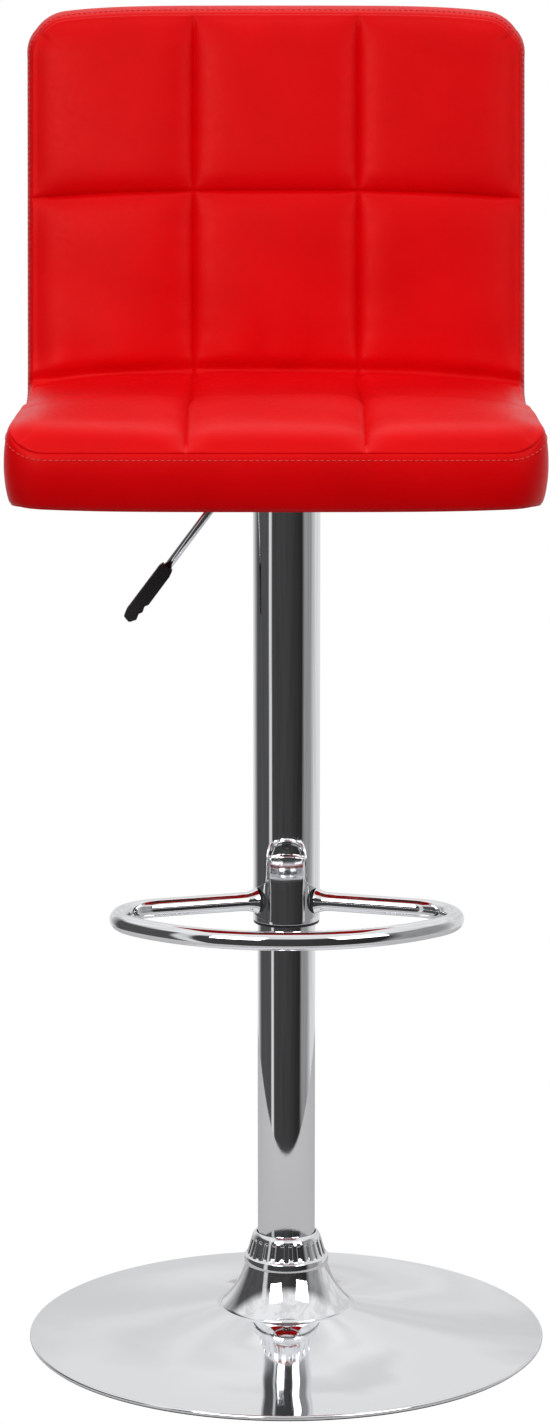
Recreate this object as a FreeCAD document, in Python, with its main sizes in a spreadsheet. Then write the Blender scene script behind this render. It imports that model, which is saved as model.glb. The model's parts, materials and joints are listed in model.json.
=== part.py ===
import FreeCAD, Part
import math
import os

import Sketcher
from FreeCAD import Vector

# Adjustable swivel stool, millimetres, +Z up.  The origin is on the floor under the middle of the
# column, the sitter faces -Y, and the lift is drawn at the top of its travel.

doc = FreeCAD.newDocument("swivel_stool")
sheet = doc.addObject("Spreadsheet::Sheet", "Sizes")

SIZES = (
    # Clearances
    ("part_gap", 0.3, "between pieces that only lie beside each other"),
    ("running_gap", 0.08, "radial, between a piece that turns or slides and what guides it"),
    ("press_gap", 0.02, "radial, between pieces pressed into each other"),
    # Foot: chromed trumpet shell with a floor ring, closing plate, ballast and tube socket
    ("base_radius", 225.5, "outer edge of the foot"),
    ("rim_height", 5.0, "top of the foot's edge"),
    ("rim_lift", 1.0, "chromed edge above the floor"),
    ("shell_wall", 1.6, "sheet thickness of the foot"),
    ("dish_radius", 66.0, "where the flat dish turns up into the neck"),
    ("dish_height", 26.0, "height of that place"),
    ("dish_slope", 12.0, "degrees, slope of the dish at that place"),
    ("neck_radius", 36.0, "outer radius at the top of the neck"),
    ("neck_height", 66.0, "top of the neck"),
    ("floor_ring_inner", 206.0, "inner radius of the rubber floor ring"),
    ("floor_ring_height", 3.0, "height of the rubber floor ring"),
    ("closing_lift", 1.5, "underside of the closing plate"),
    ("closing_wall", 1.2, "thickness of the closing plate"),
    ("closing_hole", 30.0, "radius of the hole for reaching the clip"),
    ("ballast_radius", 130.0, "outer radius of the ballast ring"),
    ("ballast_land", 7.0, "height of the ballast ring's outer edge"),
    ("ballast_cone", 61.0, "inner radius of the ballast ring"),
    ("ballast_height", 17.0, "height of the ballast ring's inner edge"),
    ("flange_radius", 60.0, "flange of the tube socket"),
    ("flange_wall", 4.0, "thickness of that flange"),
    ("socket_wall", 3.6, "wall of the tube socket"),
    # Standing tube with its bushing and thrust bearing
    ("tube_radius", 25.0, "outer radius of the standing tube"),
    ("tube_wall", 1.8, "wall of the standing tube"),
    ("tube_foot", 8.0, "underside of the standing tube"),
    ("tube_floor", 6.0, "thickness of the floor in the standing tube"),
    ("tube_top", 480.0, "top of the standing tube"),
    ("taper_top", 62.0, "where the standing tube's tapered end begins"),
    ("taper_drop", 0.6, "how much smaller the tapered end is at its foot"),
    ("bushing_length", 75.0, "guide bushing inside the standing tube"),
    ("bushing_lip", 3.0, "its lip on top of the tube"),
    ("bushing_lip_radius", 24.5, "outer radius of that lip"),
    ("race_inner", 6.0, "inner radius of the lower race"),
    ("race_outer", 14.0, "outer radius of both races"),
    ("race_wall", 2.0, "thickness of a race"),
    ("ball_circle", 10.0, "radius of the ring of balls"),
    ("ball_radius", 2.0, "nominal ball, half the space between the races"),
    ("ball_play", 0.05, "how much smaller a ball is than that"),
    ("cage_wall", 1.6, "thickness of the ball cage"),
    ("collar_radius", 7.0, "shoulder of the spindle above the bearing"),
    ("collar_wall", 3.0, "thickness of that shoulder"),
    ("bumper_radius", 11.0, "rubber bumper on the spindle"),
    ("bumper_height", 15.0, "height of that bumper"),
    ("washer_radius", 12.0, "thrust washer under the tube"),
    ("washer_wall", 1.3, "its thickness"),
    ("clip_radius", 9.0, "retaining clip under the washer"),
    ("clip_wall", 1.0, "its thickness"),
    ("spindle_end", 4.4, "lower end of the spindle"),
    # Gas spring
    ("rod_radius", 5.0, "piston rod"),
    ("piston_foot", 290.0, "underside of the piston"),
    ("piston_height", 14.0, "length of the piston"),
    ("cylinder_radius", 14.0, "gas cylinder"),
    ("cylinder_bore", 12.0, "inside radius of the gas cylinder"),
    ("cylinder_foot", 262.0, "lower end of the gas cylinder at full height"),
    ("gland_height", 20.0, "seal and guide in the cylinder's lower end"),
    ("cone_foot", 695.0, "where the cylinder's upper cone begins"),
    ("cone_top", 742.0, "top of the gas cylinder"),
    ("cone_top_radius", 13.0, "radius there"),
    ("valve_seat", 700.0, "top of the gas space"),
    ("valve_radius", 2.5, "valve pin"),
    ("valve_head", 4.0, "head that keeps the pin in"),
    ("valve_tail", 6.0, "how far the pin reaches into the gas space"),
    # Cover tube with its guide ring and collar
    ("cover_radius", 28.75, "outer radius of the cover tube"),
    ("cover_wall", 1.5, "wall of the cover tube"),
    ("cover_foot", 373.5, "lower end of the cover tube at full height"),
    ("cover_top", 736.0, "upper end of the cover tube"),
    ("lip_height", 2.4, "black lip under the cover tube"),
    ("lip_inset", 0.3, "how far the lip stands inside the cover tube's face"),
    ("guide_height", 27.0, "guide ring inside the cover tube"),
    ("collar_foot", 706.0, "lower face of the collar that centres the cover tube"),
    ("collar_height", 28.0, "height of that collar"),
    # Seat mechanism
    ("hub_foot", 700.0, "lower end of the hub that grips the gas cylinder"),
    ("hub_foot_radius", 18.0, "its outer radius there"),
    ("hub_top_radius", 21.0, "its outer radius under the plate"),
    ("plate_foot", 745.2, "underside of the seat plate"),
    ("plate_wall", 2.5, "thickness of the seat plate"),
    ("plate_half_x", 80.0, "half the plate's width"),
    ("plate_half_y", 66.0, "half the plate's depth"),
    ("channel_half", 9.0, "half the inside width of the lever channel"),
    ("channel_wall", 2.0, "wall of the lever channel"),
    ("channel_roof", 756.5, "inside top of the lever channel"),
    ("channel_end", 16.0, "closed end of the lever channel"),
    ("bolt_x", 62.0, "bolt place across the seat"),
    ("bolt_y", 50.0, "bolt place along the seat"),
    ("bolt_radius", 3.0, "seat bolt shank"),
    ("bolt_head", 5.6, "seat bolt head"),
    ("bolt_head_height", 4.0, "height of that head"),
    ("bolt_length", 15.0, "shank above the seat bolt's washer"),
    ("bolt_washer", 8.0, "washer radius"),
    ("bolt_washer_wall", 1.4, "washer thickness"),
    ("nut_barrel", 4.3, "barrel of the tee nut in the seat board"),
    ("nut_flange", 9.0, "flange of the tee nut"),
    ("nut_wall", 1.2, "thickness of that flange"),
    # Lever
    ("lever_radius", 3.5, "lever rod"),
    ("lever_height", 750.0, "axis of the rod's level part and of its pivot"),
    ("lever_inner", 4.0, "inner end of the rod, past the valve pin"),
    ("lever_bend", -49.0, "where the rod turns down"),
    ("lever_bend_radius", 12.0, "radius of that bend"),
    ("lever_angle", 53.0, "degrees below level"),
    ("lever_run", 87.0, "from the bend to the grip"),
    ("pivot_place", -28.0, "pivot pin across the seat"),
    ("pivot_radius", 2.0, "pivot pin"),
    ("grip_length", 58.0, "hand grip"),
    ("grip_thickness", 13.0, "grip across its flat sides"),
    ("grip_half", 6.4, "half the grip's width at its middle"),
    ("grip_socket", 30.0, "how deep the rod sits in the grip"),
    ("grip_edge", 2.4, "rounding of the grip"),
    # Footrest
    ("rest_height", 393.0, "axis of the footrest tube"),
    ("rest_tube", 8.0, "radius of the footrest tube"),
    ("rest_wall", 1.5, "its wall"),
    ("rest_arc", 176.0, "radius of the front arc about the column"),
    ("rest_corner", 45.5, "radius of the two corners"),
    ("rest_arm_angle", 19.0, "degrees by which each arm runs forward"),
    ("rest_root_x", 27.0, "where an arm meets the column, across"),
    ("rest_root_y", -17.0, "where an arm meets the column, along"),
    ("saddle_wall", 2.0, "plate of the footrest bracket"),
    ("saddle_foot", 377.0, "lower edge of the bracket"),
    ("saddle_top", 450.0, "upper edge of the bracket"),
    ("saddle_half", 16.5, "half the width of its tongue"),
    ("wing_half", 29.4, "half the width over its wings"),
    ("wing_foot", 384.0, "lower edge of a wing"),
    ("wing_top", 403.0, "upper edge of a wing"),
    ("pad_wall", 4.7, "how far the raised pad stands off the bracket's plate"),
    ("pad_half", 15.0, "half the width of the pad"),
    ("pad_top", 436.0, "upper edge of the pad"),
    ("screw_height", 443.2, "axis of the bracket screw"),
    ("screw_radius", 2.4, "its shank"),
    ("screw_head", 4.4, "its head"),
    ("screw_head_height", 2.4, "height of that head"),
    # Ribbed ring at the foot of the standing tube
    ("trim_radius", 36.8, "plain band"),
    ("trim_band", 7.5, "height of the plain band"),
    ("trim_shoulder", 34.6, "radius at the foot of the ribs"),
    ("trim_rib_top", 29.8, "radius at the top of the ribs"),
    ("trim_rib_height", 16.5, "height of the ribs"),
    ("trim_cap", 4.5, "height of the rounded cap above the ribs"),
    ("trim_cap_radius", 27.0, "radius at the top of the cap"),
    ("trim_slot", 3.6, "width of a groove between ribs"),
    ("trim_depth", 1.2, "depth of a groove"),
    ("trim_count", 26.0, "number of ribs"),
    # Upholstered seat and back: side outline in depth (Y) and height
    ("seat_half", 217.0, "half the width of the upholstery"),
    ("seat_side_shift", -9.0, "middle of the seat beside the column"),
    ("seat_foot", 748.0, "underside of the upholstery"),
    ("seat_front", -197.0, "front of the seat at the top seam"),
    ("seat_front_foot", -190.0, "front of the seat at the underside"),
    ("seat_front_seam", 795.0, "height of the front seam"),
    ("seat_top", 823.0, "top of the seat"),
    ("seat_nose", -158.0, "where the seat's rounded front edge ends"),
    ("back_front", 112.0, "front of the back where it meets the seat"),
    ("back_thickness", 46.5, "front to rear of the back"),
    ("back_lean", 8.3, "degrees by which the back leans"),
    ("back_top", 1157.0, "top of the back"),
    ("heel_radius", 75.0, "rounding where the underside turns up into the rear"),
    ("crease_radius", 35.0, "rounding where seat and back meet"),
    ("nose_radius", 42.0, "rounding of the seat's front edge above its seam"),
    ("seam_radius", 5.0, "rounding at the front seams"),
    ("rear_radius", 8.0, "rounding at the rear and lower seams"),
    ("seam_drop", 10.0, "from an edge of the outline to the seam beside it"),
    ("skin", 1.2, "vinyl cover"),
    ("board_wall", 12.0, "bent plywood seat board"),
    ("board_half", 200.0, "half the board's width"),
    ("board_front", -176.0, "front edge of the board"),
    ("board_top", 1138.0, "top edge of the board"),
)

for row, (alias, value, note) in enumerate(SIZES, 1):
    sheet.set(f"A{row}", alias)
    sheet.set(f"B{row}", str(value))
    sheet.setAlias(f"B{row}", alias)
    sheet.set(f"C{row}", note)
doc.recompute()


def total(terms):
    """The number that a sum of named sizes comes to, such as 'tube_radius -tube_wall'."""
    result = 0.0
    for term in terms.split():
        sign = -1.0 if term.startswith("-") else 1.0
        result += sign * float(getattr(sheet, term.lstrip("+-")))
    return result


def formula(terms):
    """The same sum as an expression on the sheet."""
    signed = []
    for term in terms.split():
        sign = "-" if term.startswith("-") else "+"
        signed.append(f"{sign} {sheet.Name}.{term.lstrip('+-')}")
    return " ".join(signed).removeprefix("+ ")


nodes = {}


def keep(label, piece):
    """Names a finished piece, which is then written to its own file."""
    piece.Label = label
    nodes[label] = piece
    return piece


# ---- Turned pieces -------------------------------------------------------------------------------


def polygon(sketch, corners):
    """A closed outline whose corners are held from the sketch's origin by the sheet."""
    points = [Vector(total(across), total(along), 0) for across, along in corners]
    count = len(points)
    for i in range(count):
        sketch.addGeometry(Part.LineSegment(points[i], points[(i + 1) % count]))
    for i in range(count):
        sketch.addConstraint(Sketcher.Constraint("Coincident", i, 2, (i + 1) % count, 1))
    for i, corner in enumerate(corners):
        for kind, axis, terms in zip(("DistanceX", "DistanceY"), (-2, -1), corner):
            if not terms:
                sketch.addConstraint(Sketcher.Constraint("PointOnObject", i, 1, axis))
                continue
            held = sketch.addConstraint(Sketcher.Constraint(kind, -1, 1, i, 1, total(terms)))
            sketch.setExpression(f"Constraints[{held}]", formula(terms))


def origin_plane(body, role):
    return next(item for item in body.Origin.OriginFeatures if item.Role == role)


def turned(label, *corners):
    """A piece turned about the column: its section's corners are (radius, height) pairs."""
    body = doc.addObject("PartDesign::Body", label)
    section = body.newObject("Sketcher::SketchObject", label + "_section")
    section.AttachmentSupport = (origin_plane(body, "XZ_Plane"), [""])
    section.MapMode = "FlatFace"
    polygon(section, corners)
    spin = body.newObject("PartDesign::Revolution", label + "_spin")
    spin.Profile = section
    spin.ReferenceAxis = (section, ["V_Axis"])
    spin.Angle = 360
    body.Tip = spin
    return body


def ring(label, inner, outer, foot, top):
    """A plain ring or tube about the column."""
    return turned(label, (inner, foot), (outer, foot), (outer, top), (inner, top))


# ---- Blocks, rods and booleans -------------------------------------------------------------------


def bind(piece, **sizes):
    for prop, terms in sizes.items():
        piece.setExpression(prop.replace("_", "."), formula(terms))


def block(name, x, y, z):
    """A box between two named places on each axis, each given as (low, high)."""
    piece = doc.addObject("Part::Box", name)
    for side, axis, (low, high) in zip(("Length", "Width", "Height"), "xyz", (x, y, z)):
        negated = " ".join(t[1:] if t.startswith("-") else "-" + t for t in low.split())
        piece.setExpression(side, formula(f"{high} {negated}"))
        piece.setExpression(f"Placement.Base.{axis}", formula(low))
    return piece


def upright(name, radius, foot, height, x="", y=""):
    """A vertical cylinder."""
    piece = doc.addObject("Part::Cylinder", name)
    bind(piece, Radius=radius, Height=height, Placement_Base_z=foot)
    if x:
        bind(piece, Placement_Base_x=x, Placement_Base_y=y)
    return piece


def joined(name, *pieces):
    result = doc.addObject("Part::MultiFuse", name)
    result.Shapes = list(pieces)
    return result


def trimmed(name, piece, *tools):
    result = doc.addObject("Part::Cut", name)
    result.Base = piece
    result.Tool = tools[0] if len(tools) == 1 else joined(name + "_tools", *tools)
    return result


def shaped(label, shape):
    """A piece whose shape is worked out with Part's functions."""
    piece = doc.addObject("Part::Feature", label)
    piece.Shape = shape
    return keep(label, piece)


# ---- Outlines with rounded corners ---------------------------------------------------------------


def unit(a, b):
    return (b - a).normalize()


def path_edges(corners, closed):
    """Straight runs joined by tangent arcs, for corners given as (point, radius)."""
    count = len(corners)
    starts, ends, arcs = {}, {}, {}
    for i, (point, radius) in enumerate(corners):
        inner = closed or 0 < i < count - 1
        if not inner or radius <= 0:
            starts[i] = ends[i] = point
            continue
        back = unit(point, corners[i - 1][0])
        ahead = unit(point, corners[(i + 1) % count][0])
        half = back.getAngle(ahead) / 2
        reach = radius / math.tan(half)
        middle = point + (back + ahead).normalize() * (radius / math.sin(half) - radius)
        starts[i] = point + back * reach
        ends[i] = point + ahead * reach
        arcs[i] = middle
    edges = []
    for i in range(count):
        if i in arcs:
            edges.append(Part.Arc(starts[i], arcs[i], ends[i]).toShape())
        after = (i + 1) % count
        if (closed or after) and (starts[after] - ends[i]).Length > 1e-6:
            edges.append(Part.LineSegment(ends[i], starts[after]).toShape())
    return edges


def inset(corners, depth, closed, left):
    """The outline moved sideways by depth, to the left of its direction in the YZ plane or right."""
    count = len(corners)
    side = 1 if left else -1
    runs = []
    for i in range(count if closed else count - 1):
        a, b = corners[i][0], corners[(i + 1) % count][0]
        along = unit(a, b)
        shift = Vector(0, -along.z, along.y) * side * depth
        runs.append((a + shift, b + shift, along))
    result = []
    for i, (point, radius) in enumerate(corners):
        if not closed and i == 0:
            result.append((runs[0][0], 0))
            continue
        if not closed and i == count - 1:
            result.append((runs[-1][1], 0))
            continue
        before, after = runs[i - 1], runs[i]
        cross = before[2].y * after[2].z - before[2].z * after[2].y
        gap = after[0] - before[0]
        reach = (gap.y * after[2].z - gap.z * after[2].y) / cross
        turn = math.copysign(1, cross) * side
        result.append((before[0] + before[2] * reach, max(radius - turn * depth, 0)))
    return result


def strip_face(corners, near, far, left=True):
    """A band along an open outline, between two depths from it."""
    first = inset(corners, near, False, left)
    second = inset(corners, far, False, left)
    edges = path_edges(first, False)
    edges.append(Part.LineSegment(first[-1][0], second[-1][0]).toShape())
    edges += path_edges(second, False)
    edges.append(Part.LineSegment(second[0][0], first[0][0]).toShape())
    return Part.Face(Part.Wire(Part.__sortEdges__(edges)))


def across_seat(face, half):
    """A face in the YZ plane drawn out across the seat, about the seat's middle."""
    solid = face.extrude(Vector(2 * half, 0, 0))
    solid.translate(Vector(total("seat_side_shift") - half, 0, 0))
    return solid


def pipe(edges, radius):
    """A round bar along a chain of edges."""
    wire = Part.Wire(edges)
    start = wire.OrderedVertexes[0].Point
    first = wire.OrderedEdges[0]
    direction = first.tangentAt(first.FirstParameter)
    if (first.valueAt(first.FirstParameter) - start).Length > 1e-6:
        direction = first.tangentAt(first.LastParameter) * -1
    circle = Part.Wire(Part.Circle(start, direction, radius).toShape())
    return wire.makePipeShell([circle], True, False)


# ---- Foot ----------------------------------------------------------------------------------------


def arc_from(start, angle, end):
    """The arc that leaves start at an angle in degrees and ends at end, both in the XZ plane."""
    chord = end - start
    lean = math.atan2(chord.z, chord.x) - math.radians(angle)
    lean = (lean + math.pi) % (2 * math.pi) - math.pi
    height = chord.Length / 2 * math.tan(lean / 2)
    middle = (start + end) / 2 + Vector(chord.z, 0, -chord.x).normalize() * height
    return Part.Arc(start, middle, end)


def foot_line(depth):
    """The foot's outer line from neck to rim, moved inwards by depth."""
    slope = math.radians(180 - total("dish_slope"))
    bend = Vector(total("dish_radius"), 0, total("dish_height"))
    rim = Vector(total("base_radius"), 0, total("rim_height"))
    neck = Vector(total("neck_radius"), 0, total("neck_height"))
    dish = arc_from(bend, math.degrees(slope) + 180, rim)
    rise = arc_from(bend, math.degrees(slope), neck)
    moved = []
    for arc in (rise, dish):
        curve = arc.toShape()
        centre, radius = curve.Curve.Center, curve.Curve.Radius
        points = [curve.valueAt(p) for p in (curve.FirstParameter,
                                             (curve.FirstParameter + curve.LastParameter) / 2,
                                             curve.LastParameter)]
        moved.append([centre + (p - centre) * ((radius + depth) / radius) for p in points])
    return moved


def foot_section(depth, foot, inner, outer):
    """The region under the foot's line moved inwards by depth, out to the outer radius."""
    rise, dish = foot_line(depth)
    rise = rise if rise[0].z > rise[2].z else rise[::-1]
    dish = dish if dish[0].z > dish[2].z else dish[::-1]
    edges = [Part.Arc(*rise).toShape(), Part.Arc(*dish).toShape()]
    corners = [dish[2], Vector(dish[2].x, 0, foot), Vector(inner, 0, foot),
               Vector(inner, 0, rise[0].z), rise[0]]
    edges += [Part.LineSegment(a, b).toShape() for a, b in zip(corners, corners[1:])]
    solid = Part.Face(Part.Wire(Part.__sortEdges__(edges))).revolve(Vector(), Vector(0, 0, 1), 360)
    limit = Part.makeCylinder(outer, rise[0].z)
    return solid.common(limit)


def base_shell():
    bore = total("tube_radius part_gap")
    outer = foot_section(0, total("rim_lift"), bore, total("base_radius"))
    hollow = foot_section(total("shell_wall"), 0, 0.001, total("base_radius -shell_wall"))
    roof = Part.makeCylinder(total("neck_radius"), total("shell_wall"),
                             Vector(0, 0, total("neck_height -shell_wall")))
    return outer.cut(hollow.cut(roof)).removeSplitter()


shaped("base_shell", base_shell())

keep("floor_ring", ring("floor_ring", "floor_ring_inner", "base_radius -shell_wall -part_gap",
                        "", "floor_ring_height"))
keep("closing_plate", ring("closing_plate", "closing_hole", "floor_ring_inner -part_gap",
                           "closing_lift", "closing_lift closing_wall"))
SOCKET_FOOT = "closing_lift closing_wall"
keep("ballast_ring", turned(
    "ballast_ring", ("ballast_cone", SOCKET_FOOT), ("ballast_radius", SOCKET_FOOT),
    ("ballast_radius", "ballast_land"), ("ballast_cone", "ballast_height")))
SOCKET_BORE = "tube_radius press_gap"
keep("tube_socket", turned(
    "tube_socket", (SOCKET_BORE + " -taper_drop", SOCKET_FOOT), ("flange_radius", SOCKET_FOOT),
    ("flange_radius", SOCKET_FOOT + " flange_wall"),
    (SOCKET_BORE + " socket_wall", SOCKET_FOOT + " flange_wall"),
    (SOCKET_BORE + " socket_wall", "neck_height -shell_wall"),
    (SOCKET_BORE, "neck_height -shell_wall"), (SOCKET_BORE, "taper_top"),
    (SOCKET_BORE + " -taper_drop", "tube_foot")))


def trim_ring():
    inner = total("tube_radius part_gap")
    foot = total("neck_height")
    band = foot + total("trim_band")
    ribs = band + total("trim_rib_height")
    top = ribs + total("trim_cap")
    corners = ((inner, foot), (total("trim_radius"), foot), (total("trim_radius"), band),
               (total("trim_shoulder"), band), (total("trim_rib_top"), ribs),
               (total("trim_cap_radius"), top), (inner, top))
    points = [Vector(r, 0, h) for r, h in corners]
    wire = Part.makePolygon(points + points[:1])
    body = Part.Face(wire).revolve(Vector(), Vector(0, 0, 1), 360)
    slope = (total("trim_rib_top") - total("trim_shoulder")) / total("trim_rib_height")
    low = Vector(total("trim_shoulder -trim_depth"), -total("trim_slot") / 2, band)
    high = low + Vector(slope * (ribs - band), 0, ribs - band)
    reach = Vector(total("trim_radius"), 0, 0)
    side = Part.Face(Part.makePolygon([low, low + reach, high + reach, high, low]))
    groove = side.extrude(Vector(0, total("trim_slot"), 0))
    count = int(total("trim_count"))
    for i in range(count):
        cutter = groove.copy()
        cutter.rotate(Vector(), Vector(0, 0, 1), 360 / count * i)
        body = body.cut(cutter)
    return body


shaped("trim_ring", trim_ring())

# ---- Standing tube and thrust bearing ------------------------------------------------------------

TUBE_BORE = "tube_radius -tube_wall"
ROD_HOLE = "rod_radius running_gap"
FLOOR = "tube_foot tube_floor"
keep("standing_tube", turned(
    "standing_tube", (ROD_HOLE, "tube_foot"), ("tube_radius -taper_drop", "tube_foot"),
    ("tube_radius", "taper_top"), ("tube_radius", "tube_top"), (TUBE_BORE, "tube_top"),
    (TUBE_BORE, FLOOR), (ROD_HOLE, FLOOR)))
BUSH_BORE = "cylinder_radius running_gap"
BUSH_OUT = TUBE_BORE + " -press_gap"
keep("guide_bushing", turned(
    "guide_bushing", (BUSH_BORE, "tube_top -bushing_length"), (BUSH_OUT, "tube_top -bushing_length"),
    (BUSH_OUT, "tube_top"), ("bushing_lip_radius", "tube_top"),
    ("bushing_lip_radius", "tube_top bushing_lip"), (BUSH_BORE, "tube_top bushing_lip")))
keep("lower_race", ring("lower_race", "race_inner", "race_outer", FLOOR, FLOOR + " race_wall"))
TRACK = FLOOR + " race_wall"
UPPER_RACE = TRACK + " ball_radius ball_radius"
keep("upper_race", ring("upper_race", "rod_radius press_gap", "race_outer",
                        UPPER_RACE, UPPER_RACE + " race_wall"))
COLLAR = UPPER_RACE + " race_wall"
WASHER = "tube_foot -running_gap -washer_wall"
keep("thrust_washer", ring("thrust_washer", "rod_radius press_gap", "washer_radius",
                           WASHER, WASHER + " washer_wall"))
CLIP = WASHER + " -clip_wall"
keep("retaining_clip", ring("retaining_clip", "rod_radius press_gap", "clip_radius",
                            CLIP, CLIP + " clip_wall"))
keep("spindle_rod", turned(
    "spindle_rod", ("", "spindle_end"), ("rod_radius", "spindle_end"), ("rod_radius", COLLAR),
    ("collar_radius", COLLAR), ("collar_radius", COLLAR + " collar_wall"),
    ("rod_radius", COLLAR + " collar_wall"), ("rod_radius", "piston_foot"), ("", "piston_foot")))
BUMPER = COLLAR + " collar_wall"
keep("rubber_bumper", ring("rubber_bumper", "rod_radius press_gap", "bumper_radius",
                           BUMPER, BUMPER + " bumper_height"))
keep("piston", turned(
    "piston", ("", "piston_foot"), ("cylinder_bore -running_gap", "piston_foot"),
    ("cylinder_bore -running_gap", "piston_foot piston_height"), ("", "piston_foot piston_height")))

BALL_COUNT = 9


def around(shape, radius, count):
    """Copies of a shape set on a circle about the column."""
    copies = []
    for i in range(count):
        item = shape.copy()
        item.translate(Vector(radius, 0, 0))
        item.rotate(Vector(), Vector(0, 0, 1), 360 / count * i)
        copies.append(item)
    return copies


ball_height = total(TRACK + " ball_radius")
ball = Part.makeSphere(total("ball_radius -ball_play"), Vector(0, 0, ball_height))
shaped("bearing_balls", Part.makeCompound(around(ball, total("ball_circle"), BALL_COUNT)))


def ball_cage():
    foot = Vector(0, 0, ball_height - total("cage_wall") / 2)
    wall = total("cage_wall")
    disc = Part.makeCylinder(total("race_outer -part_gap"), wall, foot)
    disc = disc.cut(Part.makeCylinder(total("race_inner part_gap"), wall, foot))
    pocket = Part.makeCylinder(total("ball_radius"), wall, foot)
    return disc.cut(Part.makeCompound(around(pocket, total("ball_circle"), BALL_COUNT)))


shaped("ball_cage", ball_cage())

# ---- Gas spring ----------------------------------------------------------------------------------

VALVE_HOLE = "valve_radius running_gap"
keep("gas_cylinder", turned(
    "gas_cylinder", ("cylinder_bore", "cylinder_foot"), ("cylinder_radius", "cylinder_foot"),
    ("cylinder_radius", "cone_foot"), ("cone_top_radius", "cone_top"), (VALVE_HOLE, "cone_top"),
    (VALVE_HOLE, "valve_seat"), ("cylinder_bore", "valve_seat")))
keep("rod_seal", ring("rod_seal", ROD_HOLE, "cylinder_bore -press_gap",
                      "cylinder_foot", "cylinder_foot gland_height"))
VALVE_TOP = "lever_height -lever_radius -part_gap"
keep("valve_pin", turned(
    "valve_pin", ("", "valve_seat -valve_tail"), ("valve_head", "valve_seat -valve_tail"),
    ("valve_head", "valve_seat -part_gap"), ("valve_radius", "valve_seat -part_gap"),
    ("valve_radius", VALVE_TOP), ("", VALVE_TOP)))

# ---- Cover tube ----------------------------------------------------------------------------------

COVER_BORE = "cover_radius -cover_wall"


def screw_bar(radius, near, far):
    """A bar along Y at the bracket screw, between two distances in front of the column's axis."""
    return Part.makeCylinder(radius, far - near, Vector(0, -near, total("screw_height")),
                             Vector(0, -1, 0))


cover_blank = ring("cover_blank", COVER_BORE, "cover_radius", "cover_foot", "cover_top")
screw_hole = doc.addObject("Part::Cylinder", "screw_hole")
bind(screw_hole, Radius="screw_radius press_gap", Height="cover_radius",
     Placement_Base_z="screw_height")
screw_hole.Placement.Rotation = FreeCAD.Rotation(Vector(0, 0, 1), Vector(0, -1, 0))
keep("cover_tube", trimmed("cover_tube", cover_blank, screw_hole))

GUIDE_BORE = "tube_radius running_gap"
keep("guide_ring", turned(
    "guide_ring", (GUIDE_BORE, "cover_foot -lip_height"),
    ("cover_radius -lip_inset", "cover_foot -lip_height"), ("cover_radius -lip_inset", "cover_foot"),
    (COVER_BORE + " -press_gap", "cover_foot"), (COVER_BORE + " -press_gap", "cover_foot guide_height"),
    (GUIDE_BORE, "cover_foot guide_height")))
keep("centring_collar", ring("centring_collar", "hub_top_radius part_gap", COVER_BORE + " -press_gap",
                             "collar_foot", "collar_foot collar_height"))

# ---- Seat mechanism ------------------------------------------------------------------------------

hub_blank = turned(
    "hub_blank", ("cylinder_radius press_gap", "hub_foot"), ("hub_foot_radius", "hub_foot"),
    ("hub_top_radius", "collar_foot"), ("hub_top_radius", "plate_foot"),
    ("cone_top_radius press_gap press_gap press_gap", "plate_foot"),
    ("cone_top_radius press_gap press_gap press_gap", "cone_top"))
hub_slot = block("hub_slot", ("-hub_top_radius -part_gap", "cone_top_radius"),
                 ("-channel_half channel_wall", "channel_half -channel_wall"),
                 ("cone_top -part_gap", "plate_foot part_gap"))
keep("seat_hub", trimmed("seat_hub", hub_blank, hub_slot))


def seat_plate():
    """Flat plate with a raised channel for the lever, drilled for the bolts and the pivot pin."""
    flange = block("plate_flange", ("-plate_half_x", "plate_half_x"),
                   ("-plate_half_y", "plate_half_y"), ("plate_foot", "plate_foot plate_wall"))
    raised = block("plate_channel", ("-plate_half_x", "channel_end channel_wall"),
                   ("-channel_half -channel_wall", "channel_half channel_wall"),
                   ("plate_foot", "channel_roof channel_wall"))
    space = block("plate_space", ("-plate_half_x -part_gap", "channel_end"),
                  ("-channel_half", "channel_half"), ("plate_foot -part_gap", "channel_roof"))
    tools = [space]
    for i, (x, y) in enumerate(bolt_places()):
        tools.append(upright(f"plate_hole_{i}", "bolt_radius part_gap", "plate_foot -part_gap",
                             "plate_wall plate_wall", x, y))
    pin_hole = doc.addObject("Part::Cylinder", "pin_hole")
    bind(pin_hole, Radius="pivot_radius press_gap", Height="plate_half_x",
         Placement_Base_x="pivot_place", Placement_Base_z="lever_height")
    pin_hole.setExpression("Placement.Base.y", "Sizes.plate_half_x / 2")
    pin_hole.Placement.Rotation = FreeCAD.Rotation(Vector(0, 0, 1), Vector(0, -1, 0))
    return trimmed("seat_plate", joined("plate_blank", flange, raised), pin_hole, *tools)


def bolt_places():
    return [(x, y) for x in ("bolt_x", "-bolt_x") for y in ("bolt_y", "-bolt_y")]


keep("seat_plate", seat_plate())

washer_foot = total("plate_foot -bolt_washer_wall")


def at_bolts(shape):
    """The four copies of a fastener, one at each bolt place."""
    copies = []
    for x, y in bolt_places():
        item = shape.copy()
        item.translate(Vector(total(x), total(y), 0))
        copies.append(item)
    return Part.makeCompound(copies)


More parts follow.
